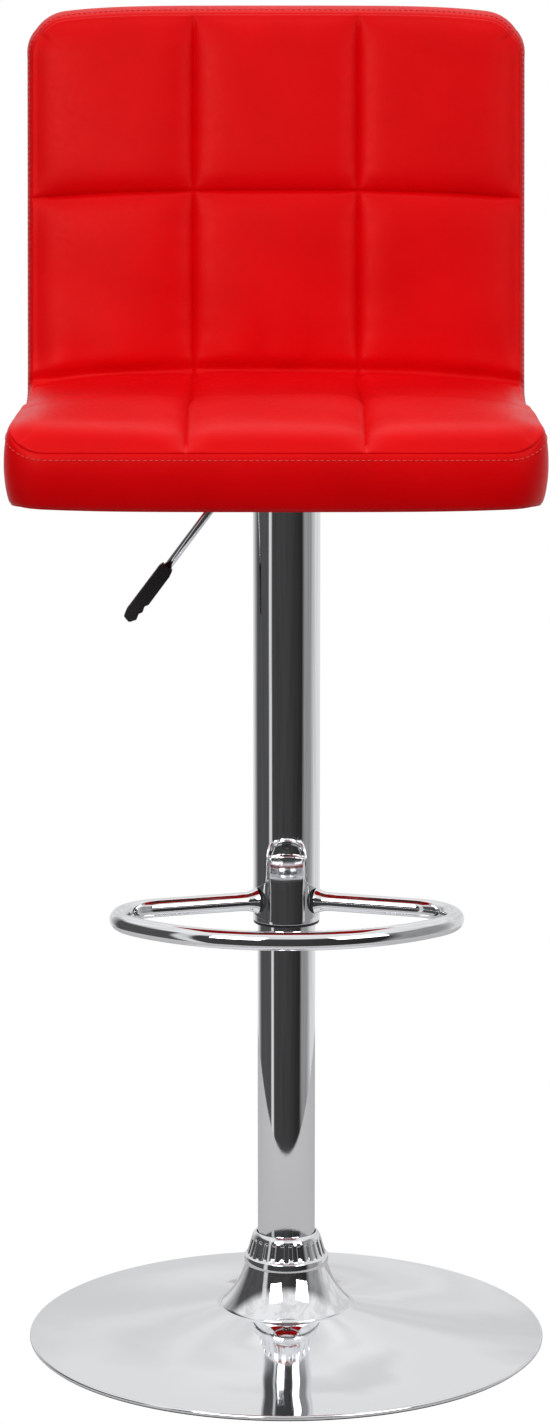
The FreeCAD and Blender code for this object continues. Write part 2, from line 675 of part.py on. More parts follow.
def seat_bolt():
    head_foot = washer_foot - total("bolt_head_height")
    head = Part.makeCylinder(total("bolt_head"), total("bolt_head_height"), Vector(0, 0, head_foot))
    head = head.makeChamfer(total("part_gap part_gap"), [head.Edges[2]])
    key = Part.Face(Part.makePolygon(
        [Vector(total("bolt_radius") * math.cos(math.radians(60 * i)),
                total("bolt_radius") * math.sin(math.radians(60 * i)), head_foot)
         for i in range(7)])).extrude(Vector(0, 0, total("bolt_head_height") / 2))
    shank = Part.makeCylinder(total("bolt_radius"), total("bolt_length"), Vector(0, 0, washer_foot))
    return head.cut(key).fuse(shank).removeSplitter()


def seat_washer():
    foot, wall = Vector(0, 0, washer_foot), total("bolt_washer_wall")
    disc = Part.makeCylinder(total("bolt_washer"), wall, foot)
    return disc.cut(Part.makeCylinder(total("bolt_radius press_gap"), wall, foot))


board_foot = total("seat_foot skin part_gap")
board_roof = board_foot + total("board_wall")


def tee_nut():
    bore = total("bolt_radius press_gap")
    foot = board_foot + total("plate_wall")
    barrel = Part.makeCylinder(total("nut_barrel"), board_roof - foot, Vector(0, 0, foot))
    flange = Part.makeCylinder(total("nut_flange"), total("nut_wall"), Vector(0, 0, board_roof))
    hole = Part.makeCylinder(bore, total("board_wall board_wall"), Vector(0, 0, board_foot))
    return barrel.fuse(flange).cut(hole).removeSplitter()


shaped("seat_bolts", at_bolts(seat_bolt()))
shaped("seat_washers", at_bolts(seat_washer()))
shaped("tee_nuts", at_bolts(tee_nut()))

# ---- Lever ---------------------------------------------------------------------------------------


def level_pin(radius, half):
    """A pin across the lever at its pivot."""
    return Part.makeCylinder(radius, 2 * half,
                             Vector(total("pivot_place"), -half, total("lever_height")),
                             Vector(0, 1, 0))


shaped("pivot_pin", level_pin(total("pivot_radius"),
                              total("channel_half channel_wall part_gap part_gap")))
lever_slope = math.radians(total("lever_angle"))
lever_down = Vector(-math.cos(lever_slope), 0, -math.sin(lever_slope))
lever_corner = Vector(total("lever_bend"), 0, total("lever_height"))
grip_start = lever_corner + lever_down * total("lever_run")


def lever_rod():
    inner = Vector(total("lever_inner"), 0, total("lever_height"))
    end = grip_start + lever_down * total("grip_socket")
    route = path_edges([(inner, 0), (lever_corner, total("lever_bend_radius")), (end, 0)], False)
    rod = pipe(route, total("lever_radius"))
    return rod.cut(level_pin(total("pivot_radius running_gap"), total("channel_half")))


def lever_grip():
    """Flat grip: straight back, finger scallops on the inner side near its rounded end."""
    along = lever_down
    side = Vector(-along.z, 0, along.x) * -1
    half, length = total("grip_half"), total("grip_length")
    outline = ((0, 0.82, 0), (0, -0.80, 2), (0.10, -1.0, 3), (0.62, -1.02, 4), (0.67, -0.72, 3),
               (0.76, -0.98, 4), (0.81, -0.68, 3), (0.90, -0.92, 4), (1.0, -0.3, 5),
               (0.97, 0.75, 4), (0.86, 1.0, 6), (0.06, 1.0, 2))
    corners = [(grip_start + along * (length * run) + side * (half * off), radius / 2)
               for run, off, radius in outline]
    face = Part.Face(Part.Wire(path_edges(corners, True)))
    depth = total("grip_thickness")
    grip = face.extrude(Vector(0, depth, 0))
    grip.translate(Vector(0, -depth / 2, 0))
    rims = [edge for edge in grip.Edges
            if abs(abs(edge.CenterOfMass.y) - depth / 2) < total("press_gap")]
    grip = grip.makeFillet(total("grip_edge") / 2, rims)
    hole = Part.makeCylinder(total("lever_radius press_gap"), total("grip_socket part_gap part_gap"),
                             grip_start - along * total("part_gap"), along)
    return grip.cut(hole)


shaped("lever_rod", lever_rod())
shaped("lever_grip", lever_grip())

# ---- Footrest ------------------------------------------------------------------------------------


def rest_route():
    """Two straight arms, two corners and a front arc about the column, all level."""
    slope = math.radians(total("rest_arm_angle"))
    height, corner, arc = total("rest_height"), total("rest_corner"), total("rest_arc")
    root = Vector(total("rest_root_x"), total("rest_root_y"), 0)
    out = Vector(math.cos(slope), -math.sin(slope), 0)
    forward = Vector(-math.sin(slope), -math.cos(slope), 0)
    inside = root + forward * corner
    shift = -inside.dot(out) + math.sqrt(inside.dot(out) ** 2 - inside.dot(inside)
                                         + (arc - corner) ** 2)
    centre = inside + out * shift
    outward = Vector(centre).normalize()
    leave = root + out * shift
    middle = centre + (outward - forward).normalize() * corner
    meet = outward * arc
    start = root - out * total("rest_tube")
    lift = Vector(0, 0, height)

    def mirrored(point):
        return Vector(-point.x, point.y, point.z)

    right = [start + lift, leave + lift, middle + lift, meet + lift]
    left = [mirrored(point) for point in right]
    return [
        Part.LineSegment(right[0], right[1]).toShape(),
        Part.Arc(right[1], right[2], right[3]).toShape(),
        Part.Arc(right[3], Vector(0, -arc, height), left[3]).toShape(),
        Part.Arc(left[3], left[2], left[1]).toShape(),
        Part.LineSegment(left[1], left[0]).toShape(),
    ]


saddle_face = total("cover_radius press_gap saddle_wall")


def footrest_loop():
    route = rest_route()
    tube = pipe(route, total("rest_tube")).cut(pipe(route, total("rest_tube -rest_wall")))
    low = total("rest_height -rest_tube") - 1
    cope = Part.makeCylinder(saddle_face + total("press_gap"), 2 * total("rest_tube") + 2,
                             Vector(0, 0, low))
    return tube.cut(cope)


shaped("footrest_loop", footrest_loop())


def wrapped(outline, inner, outer):
    """The part of a shell round the column that lies behind an outline given as (x, z, radius)."""
    corners = [(Vector(x, 0, z), radius) for x, z, radius in outline]
    prism = Part.Face(Part.Wire(path_edges(corners, True))).extrude(Vector(0, -2 * outer, 0))
    low = min(z for _, z, _ in outline)
    height = max(z for _, z, _ in outline) - low
    shell = Part.makeCylinder(outer, height, Vector(0, 0, low))
    shell = shell.cut(Part.makeCylinder(inner, height, Vector(0, 0, low)))
    return shell.common(prism)


def footrest_bracket():
    foot, wing = total("saddle_foot"), total("wing_half")
    half, pad = total("saddle_half"), total("pad_half")
    right = [((half + wing) / 2, foot, 4), (wing, total("wing_foot"), 3), (wing, total("wing_top"), 4),
             (half, total("wing_top"), 9), (half, total("saddle_top"), 14)]
    left = [(-x, z, radius) for x, z, radius in right[::-1]]
    inner = total("cover_radius press_gap")
    plate = wrapped(right + left, inner, saddle_face)
    cushion = [(pad, foot + 2, 2), (pad, total("pad_top"), 12), (-pad, total("pad_top"), 12),
               (-pad, foot + 2, 2)]
    raised = wrapped(cushion, inner, saddle_face + total("pad_wall"))
    outer = saddle_face + total("pad_wall")
    rims = [edge for edge in raised.Edges
            if all(abs(math.hypot(v.X, v.Y) - outer) < total("press_gap") for v in edge.Vertexes)]
    raised = raised.makeFillet(total("pad_wall") / 3, rims)
    hole = screw_bar(total("screw_radius press_gap"), 0, outer)
    return plate.fuse(raised).cut(hole).removeSplitter()


def bracket_screw():
    head_from = saddle_face
    head_to = saddle_face + total("screw_head_height")
    shank = screw_bar(total("screw_radius"), total(COVER_BORE), head_from)
    head = screw_bar(total("screw_head"), head_from, head_to)
    head = head.makeFillet(total("screw_head_height") / 2, [
        edge for edge in head.Edges if abs(edge.BoundBox.Center.y + head_to) < total("press_gap")
        and edge.BoundBox.YLength < total("press_gap")])
    key = total("screw_radius") / 2
    recess = Part.makeBox(2 * key, total("screw_head_height") / 2, 2 * key,
                          Vector(-key, -head_to, total("screw_height") - key))
    return shank.fuse(head).cut(recess).removeSplitter()


shaped("footrest_bracket", footrest_bracket())
shaped("bracket_screw", bracket_screw())

# ---- Upholstery ----------------------------------------------------------------------------------

lean = math.tan(math.radians(total("back_lean")))


def back_line(height, offset=0.0):
    """A point on the front of the back at a height, or offset behind it."""
    return Vector(0, total("back_front") + offset + lean * (height - total("seat_top")), height)


front_foot = Vector(0, total("seat_front_foot"), total("seat_foot"))
front_seam = Vector(0, total("seat_front"), total("seat_front_seam"))
nose = Vector(0, total("seat_nose"), total("seat_top"))
crease = back_line(total("seat_top"))
top_front = back_line(total("back_top"))
top_rear = back_line(total("back_top"), total("back_thickness"))
heel = back_line(total("seat_foot"), total("back_thickness"))

# The outline runs up the front, along the seat, up the back, over its top and down behind.
OUTLINE = [
    (front_foot, total("rear_radius")), (front_seam, total("seam_radius")),
    (nose, total("nose_radius")), (crease, total("crease_radius")),
    (top_front, total("seam_radius")), (top_rear, total("rear_radius")),
    (heel, total("heel_radius")),
]


def outline_face(depth):
    """The side outline moved inwards by depth."""
    return Part.Face(Part.Wire(path_edges(inset(OUTLINE, depth, True, False), True)))


def seam_beside(corner, toward):
    """The seam's place on the outline, a little way from a corner towards the next one."""
    return corner + unit(corner, toward) * total("seam_drop")


def covers():
    """The quilted front panel, and the rear panel that also covers the underside."""
    skin = total("skin")
    seam_low = seam_beside(front_seam, front_foot)
    seam_high = seam_beside(top_front, top_rear)
    rear_high = seam_beside(top_rear, top_front)
    rear_low = seam_beside(front_foot, front_seam)
    front = strip_face([(seam_low, 0)] + OUTLINE[1:5] + [(seam_high, 0)], 0, skin, False)
    rear = strip_face([(rear_high, 0), OUTLINE[5], OUTLINE[6], OUTLINE[0], (rear_low, 0)],
                      0, skin, False)
    inner_half = total("seat_half -skin -part_gap")
    return across_seat(front, inner_half), across_seat(rear, inner_half)


front_cover, rear_cover = covers()


def edge_band():
    """Two side panels joined by the strips along the front and the top."""
    skin, half = total("skin"), total("seat_half")
    whole = across_seat(outline_face(0), half)
    inside = across_seat(outline_face(skin), half - skin)
    return whole.cut(inside).cut(front_cover).cut(rear_cover)


def board_face(near, far, extra=0.0):
    """The seat board's section: a band that follows the rear and the underside."""
    high = back_line(total("board_top") + extra, total("back_thickness"))
    low = Vector(0, total("board_front") - extra, total("seat_foot"))
    return strip_face([(high, 0), (heel, total("heel_radius")), (low, 0)], near, far, False)


pocket_edge = total("part_gap part_gap")
pocket = Part.makeBox(
    total("plate_half_x channel_end channel_wall") + 2 * pocket_edge,
    2 * (total("channel_half channel_wall") + pocket_edge),
    total("channel_roof channel_wall part_gap -seat_foot") + 2,
    Vector(-total("plate_half_x") - pocket_edge, -total("channel_half channel_wall") - pocket_edge,
           total("seat_foot") - 1))


def bolt_bars(radius, foot, top):
    return at_bolts(Part.makeCylinder(radius, top - foot, Vector(0, 0, foot)))


def seat_board():
    near = total("skin part_gap")
    board = across_seat(board_face(near, near + total("board_wall")), total("board_half"))
    holes = bolt_bars(total("nut_barrel press_gap"), total("seat_foot"), board_roof + 1)
    return board.cut(pocket).cut(holes)


def seat_foam():
    gap = total("skin part_gap")
    foam = across_seat(outline_face(gap), total("seat_half") - gap)
    room = across_seat(board_face(0, gap + total("board_wall part_gap"), total("part_gap")),
                       total("board_half part_gap"))
    nuts = bolt_bars(total("nut_flange part_gap"), total("seat_foot"),
                     board_roof + total("nut_wall part_gap"))
    return foam.cut(room).cut(nuts)


shaped("seat_board", seat_board())
shaped("seat_foam", seat_foam())
shaped("front_cover", front_cover)
shaped("rear_cover", rear_cover.cut(pocket).cut(
    bolt_bars(total("nut_barrel"), total("seat_foot") - 1, board_foot)))
shaped("edge_band", edge_band())

# ---- Check and write -----------------------------------------------------------------------------

doc.recompute()
for item in doc.Objects:
    if "Invalid" in item.State or "Error" in item.State:
        raise RuntimeError(f"{item.Name} failed: {item.State}")
for label, piece in nodes.items():
    if piece.Shape.isNull() or not piece.Shape.isValid() or not piece.Shape.Solids:
        raise RuntimeError(f"{label} has no valid shape")

os.makedirs("parts", exist_ok=True)
for label, piece in nodes.items():
    piece.Shape.exportStep(f"parts/{label}.step")
    box = piece.Shape.BoundBox
    print(f"{label:18s} {len(piece.Shape.Solids)} solids {piece.Shape.Volume:12.1f} mm3  "
          f"x {box.XMin:7.1f} {box.XMax:7.1f}  y {box.YMin:7.1f} {box.YMax:7.1f}  "
          f"z {box.ZMin:7.1f} {box.ZMax:7.1f}")
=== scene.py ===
import json
import math

import bmesh
import bpy
import numpy as np
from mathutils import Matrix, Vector


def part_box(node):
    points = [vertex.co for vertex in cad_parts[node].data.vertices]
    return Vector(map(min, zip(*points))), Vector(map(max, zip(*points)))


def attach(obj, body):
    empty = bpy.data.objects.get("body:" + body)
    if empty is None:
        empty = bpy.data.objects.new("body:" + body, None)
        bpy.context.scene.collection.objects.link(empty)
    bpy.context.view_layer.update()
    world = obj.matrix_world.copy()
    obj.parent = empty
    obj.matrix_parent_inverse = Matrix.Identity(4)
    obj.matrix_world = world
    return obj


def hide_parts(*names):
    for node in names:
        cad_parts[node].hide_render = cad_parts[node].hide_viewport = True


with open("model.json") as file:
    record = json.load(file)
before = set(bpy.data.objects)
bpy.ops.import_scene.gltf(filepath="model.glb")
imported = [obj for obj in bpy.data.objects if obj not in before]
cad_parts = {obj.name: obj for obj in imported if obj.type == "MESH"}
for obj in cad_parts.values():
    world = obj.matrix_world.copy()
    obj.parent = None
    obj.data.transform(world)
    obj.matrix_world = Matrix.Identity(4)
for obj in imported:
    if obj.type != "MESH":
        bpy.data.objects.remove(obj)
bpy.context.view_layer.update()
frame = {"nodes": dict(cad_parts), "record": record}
NODES = frame["nodes"]
MM = 0.001


# ---- Mesh helpers --------------------------------------------------------------------------------

JOINED = 1e-6  # points nearer than this become one corner


def finish_shading(piece, sharp, face_out=True):
    """Adds a piece to the scene, smooth except where two faces meet at more than the sharp angle."""
    bpy.context.scene.collection.objects.link(piece)
    tool = bmesh.new()
    tool.from_mesh(piece.data)
    bmesh.ops.remove_doubles(tool, verts=tool.verts, dist=JOINED)
    if face_out:
        bmesh.ops.recalc_face_normals(tool, faces=tool.faces)
    tool.to_mesh(piece.data)
    tool.free()
    piece.data.polygons.foreach_set("use_smooth", np.ones(len(piece.data.polygons), bool))
    piece.data.set_sharp_from_angle(angle=math.radians(sharp))
    return piece


def new_piece(name, points, quads, sharp):
    """Puts points (n, 3) and faces (lists of corner numbers) into a new smooth-shaded object."""
    mesh = bpy.data.meshes.new(name)
    mesh.from_pydata(points.tolist(), [], [list(map(int, q)) for q in quads])
    mesh.validate()
    return finish_shading(bpy.data.objects.new(name, mesh), sharp)


def refined_copy(cad_node, name, sharp=30):
    """A CAD node's own shape with its corners joined and its curved faces shaded smoothly."""
    piece = bpy.data.objects.new(name, NODES[cad_node].data.copy())
    piece.data.materials.clear()
    return finish_shading(piece, sharp, face_out=False)


def grid_faces(rows, columns, wrap_rows=False, wrap_columns=False):
    """Quads of a rows by columns grid of points, numbered row by row, closed on itself where asked."""
    r = np.arange(rows if wrap_rows else rows - 1)
    c = np.arange(columns if wrap_columns else columns - 1)
    r, c = np.meshgrid(r, c, indexing="ij")
    after_r, after_c = (r + 1) % rows, (c + 1) % columns
    corners = (r * columns + c, after_r * columns + c, after_r * columns + after_c, r * columns + after_c)
    return np.stack(corners, -1).reshape(-1, 4)


def border_of(rows, columns):
    """Row and column numbers of the points round a grid's edge, in order."""
    i = np.concatenate([np.zeros(columns), np.arange(1, rows), np.full(columns - 1, rows - 1),
                        np.arange(rows - 2, 0, -1)]).astype(int)
    j = np.concatenate([np.arange(columns), np.full(rows - 1, columns - 1),
                        np.arange(columns - 2, -1, -1), np.zeros(rows - 2)]).astype(int)
    return i, j


def about_column(name, radius, height, angle, sharp):
    """A closed outline turned about the column: x = r cos a, y = r sin a; r may vary with the angle."""
    height = np.repeat(height, len(angle), 1)
    points = np.stack([radius * np.cos(angle), radius * np.sin(angle), height], -1).reshape(-1, 3)
    return new_piece(name, points, grid_faces(len(height), len(angle), True, True), sharp)


def turned(name, profile, segments, sharp=35):
    """A closed (radius, height) outline in metres turned about the column."""
    angle = np.linspace(0, 2 * math.pi, segments, endpoint=False)
    return about_column(name, profile[:, :1], profile[:, 1:], angle, sharp)


def rounded(corners, steps):
    """A closed outline from (x, y, radius) corners: each corner is an arc tangent to both its sides."""
    result = []
    for i, (x, y, radius) in enumerate(corners):
        here = np.array([x, y])
        back = np.array(corners[i - 1][:2]) - here
        ahead = np.array(corners[(i + 1) % len(corners)][:2]) - here
        back, ahead = back / np.linalg.norm(back), ahead / np.linalg.norm(ahead)
        half = math.acos(np.clip(back @ ahead, -1, 1)) / 2
        if radius <= 0:
            result.append(here)
            continue
        centre = here + (back + ahead) / np.linalg.norm(back + ahead) * radius / math.sin(half)
        start = here + back * radius / math.tan(half) - centre
        end = here + ahead * radius / math.tan(half) - centre
        turn = math.atan2(start[0] * end[1] - start[1] * end[0], start @ end)
        for a in np.linspace(0, turn, steps):
            result.append(centre + [start[0] * math.cos(a) - start[1] * math.sin(a),
                                    start[0] * math.sin(a) + start[1] * math.cos(a)])
    return np.array(result)


def directions(points):
    """Unit vectors along the first axis of a line or grid of points."""
    step = np.gradient(points, axis=0)
    return step / np.linalg.norm(step, axis=-1, keepdims=True)


def distance_along(line):
    """How far each point of a line is from its start, along the line."""
    return np.concatenate([[0], np.cumsum(np.linalg.norm(np.diff(line, axis=0), axis=1))])


def line_at(where, run, line):
    """Points of a line at given distances, from its own points and their distances."""
    return np.stack([np.interp(where, run, values) for values in line.T], -1)


def bar_along(name, path, radius, sides, sharp=60):
    """A round bar along a level path: each ring is path + radius (cos a side + sin a up)."""
    up = np.array([0.0, 0.0, 1.0])
    side = np.cross(directions(path), up)
    angle = np.linspace(0, 2 * math.pi, sides, endpoint=False)
    radii = np.broadcast_to(radius, len(path))
    round_part = np.cos(angle)[None, :, None] * side[:, None] + np.sin(angle)[None, :, None] * up
    rings = path[:, None] + radii[:, None, None] * round_part
    points = np.concatenate([rings.reshape(-1, 3), path[:1], path[-1:]])
    faces = grid_faces(len(path), sides, False, True).tolist()
    first, last, count = len(points) - 2, len(points) - 1, len(path)
    for i in range(sides):
        j = (i + 1) % sides
        faces.append([first, i, j])
        faces.append([last, (count - 1) * sides + j, (count - 1) * sides + i])
    return new_piece(name, points, faces, sharp)


def arc_points(centre, radius, start, end, steps):
    """Points on a level circle about centre, from one angle in degrees to another."""
    a = np.radians(np.linspace(start, end, steps))
    return np.stack([centre[0] + radius * np.cos(a), centre[1] + radius * np.sin(a)], -1)


def place(piece, body, slot, material, *replaced):
    """Gives a piece its finish and hangs it on its body in place of the CAD nodes named."""
    piece.data.materials.clear()
    piece.data.materials.append(material)
    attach(piece, body)
    if replaced:
        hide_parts(*replaced)
    return piece


# ---- Materials -----------------------------------------------------------------------------------


def shader_of(made):
    return made.node_tree.nodes["Principled BSDF"]


def material(name, color, metallic=0.0, roughness=0.5, specular=0.5):
    """A Principled material with its constants on the shader's own sockets."""
    made = bpy.data.materials.new(name)
    made.use_nodes = True
    shader = shader_of(made)
    shader.inputs["Base Color"].default_value = (*color, 1)
    shader.inputs["Metallic"].default_value = metallic
    shader.inputs["Roughness"].default_value = roughness
    shader.inputs["Specular IOR Level"].default_value = specular
    return made


def node(made, kind, **values):
    """A new node of a material or world, with values for its sockets or settings."""
    item = made.node_tree.nodes.new(kind)
    for key, value in values.items():
        if key in item.inputs:
            item.inputs[key].default_value = value
        else:
            setattr(item, key, value)
    return item


def texture(made, kind, **values):
    """A texture over the piece's own place in the object, in features per metre."""
    item = node(made, kind, **values)
    place_node = node(made, "ShaderNodeTexCoord")
    made.node_tree.links.new(place_node.outputs["Object"], item.inputs["Vector"])
    return item


def noise(made, scale, detail=4.0, roughness=0.5):
    item = texture(made, "ShaderNodeTexNoise", Scale=scale, Detail=detail, Roughness=roughness)
    return item.outputs["Fac"]


def cells(made, scale):
    """Distance to the nearest cell edge of a Voronoi pattern, for leather-like pebbles."""
    item = texture(made, "ShaderNodeTexVoronoi", feature="DISTANCE_TO_EDGE", Scale=scale)
    return item.outputs["Distance"]


def bumped(made, layers):
    """Chains bump layers, each (height socket, strength, distance in metres), into the shader."""
    links = made.node_tree.links
    before = None
    for height, strength, distance in layers:
        bump = node(made, "ShaderNodeBump", Strength=strength, Distance=distance)
        links.new(height, bump.inputs["Height"])
        if before:
            links.new(before, bump.inputs["Normal"])
        before = bump.outputs["Normal"]
    links.new(before, shader_of(made).inputs["Normal"])


def ramp(made, value, stops):
    """A colour ramp over a value, from stops of (place, colour)."""
    item = node(made, "ShaderNodeValToRGB")
    while len(item.color_ramp.elements) < len(stops):
        item.color_ramp.elements.new(0.5)
    for element, (position, color) in zip(item.color_ramp.elements, stops):
        element.position = position
        element.color = (*color, 1)
    made.node_tree.links.new(value, item.inputs["Fac"])
    return item.outputs["Color"]


def ramped(made, value, socket, stops):
    """Drives a shader socket through a colour ramp."""
    made.node_tree.links.new(ramp(made, value, stops), shader_of(made).inputs[socket])


def grey(level):
    return (level, level, level)


def chrome(name, roughness=0.03, swirl=0.0):
    """Mirror chrome plate with faint handling marks in its gloss and, on sheet, a soft swirl."""
    made = material(name, (0.86, 0.87, 0.89), 1.0, roughness, 0.5)
    marks = noise(made, 45, 6, 0.65)
    ramped(made, marks, "Roughness", [(0.35, grey(roughness)), (0.75, grey(roughness + 0.035))])
    layers = [(noise(made, 900, 2, 0.5), 0.02, 0.0002)]
    if swirl:
        layers.append((noise(made, 9, 2, 0.4), swirl, 0.02))
    bumped(made, layers)
    return made


def red_vinyl():
    """Smooth coated vinyl: pebble grain, soft mottling of the red, and a satin gloss with the red's tint."""
    made = material("red_vinyl", (0.72, 0.0, 0.003), 0.0, 0.42, 0.34)
    shader_of(made).inputs["Specular Tint"].default_value = (1.0, 0.20, 0.17, 1)
    ramped(made, noise(made, 14, 5, 0.6), "Base Color",
           [(0.25, (0.66, 0.0003, 0.002)), (0.55, (0.72, 0.0005, 0.0025)), (0.8, (0.76, 0.001, 0.003))])
    ramped(made, noise(made, 220, 4, 0.6), "Roughness", [(0.3, grey(0.38)), (0.75, grey(0.50))])
    bumped(made, [(cells(made, 850), 0.16, 0.0003), (noise(made, 1500, 3, 0.6), 0.10, 0.0002),
                  (noise(made, 60, 3, 0.5), 0.10, 0.0012)])
    return made


def thread():
    """Twisted sewing thread, a little paler than the vinyl."""
    made = material("thread", (0.72, 0.05, 0.045), 0.0, 0.6, 0.3)
    ramped(made, noise(made, 1800, 3, 0.6), "Base Color",
           [(0.3, (0.55, 0.02, 0.02)), (0.7, (0.85, 0.11, 0.09))])
    bumped(made, [(noise(made, 3500, 2, 0.6), 0.4, 0.0002)])
    return made


def textured_plastic(name, color, roughness, grain=2200, strength=0.35):
    """Moulded plastic with a fine spark-eroded grain."""
    made = material(name, color, 0.0, roughness, 0.45)
    ramped(made, noise(made, 300, 4, 0.6), "Roughness",
           [(0.3, grey(roughness - 0.08)), (0.8, grey(roughness + 0.12))])
    bumped(made, [(noise(made, grain, 3, 0.6), strength, 0.0004)])
    return made


def rubber():
    """Dull moulded rubber with a fine grain."""
    made = material("black_rubber", (0.018, 0.018, 0.019), 0.0, 0.7, 0.35)
    ramped(made, noise(made, 180, 5, 0.6), "Roughness", [(0.3, grey(0.62)), (0.8, grey(0.82))])
    bumped(made, [(noise(made, 1300, 3, 0.6), 0.3, 0.0004)])
    return made


def painted(name, color, roughness=0.45):
    """Powder-coated steel: fine orange peel and a few dull patches."""
    made = material(name, color, 0.0, roughness, 0.5)
    ramped(made, noise(made, 60, 5, 0.6), "Roughness",
           [(0.3, grey(roughness - 0.07)), (0.8, grey(roughness + 0.1))])
    bumped(made, [(noise(made, 700, 3, 0.5), 0.18, 0.0005)])
    return made


def bare_steel(name, color, roughness):
    """Ground or zinc-plated steel with drawn-out marks."""
    made = material(name, color, 1.0, roughness, 0.5)
    ramped(made, noise(made, 250, 5, 0.7), "Roughness",
           [(0.3, grey(roughness - 0.08)), (0.8, grey(roughness + 0.12))])
    bumped(made, [(noise(made, 1600, 2, 0.6), 0.12, 0.0003)])
    return made


def plywood():
    """Plywood: noise for the grain in two browns."""
    made = material("plywood", (0.45, 0.28, 0.14), 0.0, 0.6, 0.3)
    grain = noise(made, 120, 6, 0.7)
    ramped(made, grain, "Base Color", [(0.3, (0.36, 0.21, 0.10)), (0.7, (0.56, 0.38, 0.21))])
    bumped(made, [(grain, 0.2, 0.0006)])
    return made


CHROME = chrome("polished_chrome")
FOOT_CHROME = chrome("foot_chrome", 0.035, 0.07)
VINYL = red_vinyl()
THREAD = thread()
GRIP = textured_plastic("grip_plastic", (0.012, 0.012, 0.013), 0.5, 1400, 0.8)
BLACK_PLASTIC = textured_plastic("black_plastic", (0.015, 0.015, 0.016), 0.42)
RUBBER = rubber()
PAINT = painted("painted_steel", (0.02, 0.02, 0.022))
CASTING = painted("cast_ballast", (0.09, 0.085, 0.08), 0.7)
STEEL = bare_steel("bearing_steel", (0.55, 0.55, 0.57), 0.25)
ZINC = bare_steel("zinc_steel", (0.68, 0.68, 0.66), 0.32)
OXIDE = painted("dark_screw", (0.03, 0.03, 0.032), 0.35)
PLY = plywood()


# ---- Studio --------------------------------------------------------------------------------------

# Brightness of the walls by share of a turn: 0 and 1 are -Y, 0.25 is -X, 0.5 is +Y. A dark front, one
# tall soft light at the front left, a dim left side, and pale walls behind and to the right.
HORIZON = ((0.0, 0.05), (0.14, 0.05), (0.15, 0.7), (0.17, 0.7), (0.18, 0.08), (0.33, 0.08), (0.42, 0.75),
           (0.68, 0.75), (0.75, 0.3), (0.82, 0.3), (0.85, 0.02), (1.0, 0.05))
CEILING = 0.86  # brightness overhead
WALL_TOP = (0.45, 0.66)  # the walls give way to the ceiling between these heights on the unit sphere
DRAPE_NOISE, DRAPE_SHADE = (0.36, 0.58), (0.88, 1.08)  # soft unevenness of the walls and ceiling
WHITE = (1, 1, 1, 1)
FLOOR_RADIUS, FLOOR_SHIFT = 0.80, 0.34  # the floor reaches further behind the object than in front of it
FLOOR_GREY = 0.52
# Name, place in metres, power in watts, width in metres, and the height on the column that it faces.
LAMPS = (("key", (-1.3, -2.5, 2.1), 46, 1.5, 0.85), ("fill", (1.9, -2.2, 1.9), 25, 1.6, 0.8),
         ("top", (0.0, 0.5, 3.0), 7, 1.6, 0.9))
LENS, SENSOR = 92.3, 36  # mm
CAMERA_PLACE, CAMERA_TILT = (-9.9 * MM, -3.095, 1.045), 81  # degrees from straight down


def mapped(made, value, source, target, shape="LINEAR"):
    """A value moved from one (low, high) range to another."""
    item = node(made, "ShaderNodeMapRange", interpolation_type=shape)
    for socket, number in zip(("From Min", "From Max", "To Min", "To Max"), (*source, *target)):
        item.inputs[socket].default_value = number
    made.node_tree.links.new(value, item.inputs["Value"])
    return item.outputs[0]


def mixed(made, factor, first, second, mode="MIX"):
    """Two colours mixed by a factor; each of the three is a socket or a constant."""
    item = node(made, "ShaderNodeMix", data_type="RGBA", blend_type=mode)
    for socket, value in ((0, factor), (6, first), (7, second)):  # 6 and 7 are the colour inputs
        if isinstance(value, bpy.types.NodeSocket):
            made.node_tree.links.new(value, item.inputs[socket])
        else:
            item.inputs[socket].default_value = value
    return item.outputs[2]  # the colour output


def surroundings():
    """A pale ceiling over walls whose brightness goes by direction: share = (atan2(x, y) + pi) / 2 pi."""
    world = bpy.data.worlds.new("studio")
    bpy.context.scene.world = world
    world.use_nodes = True
    links = world.node_tree.links
    direction = node(world, "ShaderNodeTexCoord").outputs["Generated"]
    split = node(world, "ShaderNodeSeparateXYZ")
    links.new(direction, split.inputs["Vector"])
    turn = node(world, "ShaderNodeMath", operation="ARCTAN2")
    links.new(split.outputs["X"], turn.inputs[0])
    links.new(split.outputs["Y"], turn.inputs[1])
    share = mapped(world, turn.outputs[0], (-math.pi, math.pi), (0, 1))
    walls = ramp(world, share, [(place_on_turn, grey(level)) for place_on_turn, level in HORIZON])
    rise = mapped(world, split.outputs["Z"], WALL_TOP, (0, 1), "SMOOTHSTEP")
    room = mixed(world, rise, walls, (*grey(CEILING), 1))
    drape = node(world, "ShaderNodeTexNoise", Scale=3.2, Detail=1.5, Distortion=1.8)
    links.new(direction, drape.inputs["Vector"])
    shade = mapped(world, drape.outputs["Fac"], DRAPE_NOISE, DRAPE_SHADE)
    draped = mixed(world, 1.0, room, shade, "MULTIPLY")
    seen = node(world, "ShaderNodeLightPath").outputs["Is Camera Ray"]
    links.new(mixed(world, seen, draped, WHITE), world.node_tree.nodes["Background"].inputs["Color"])


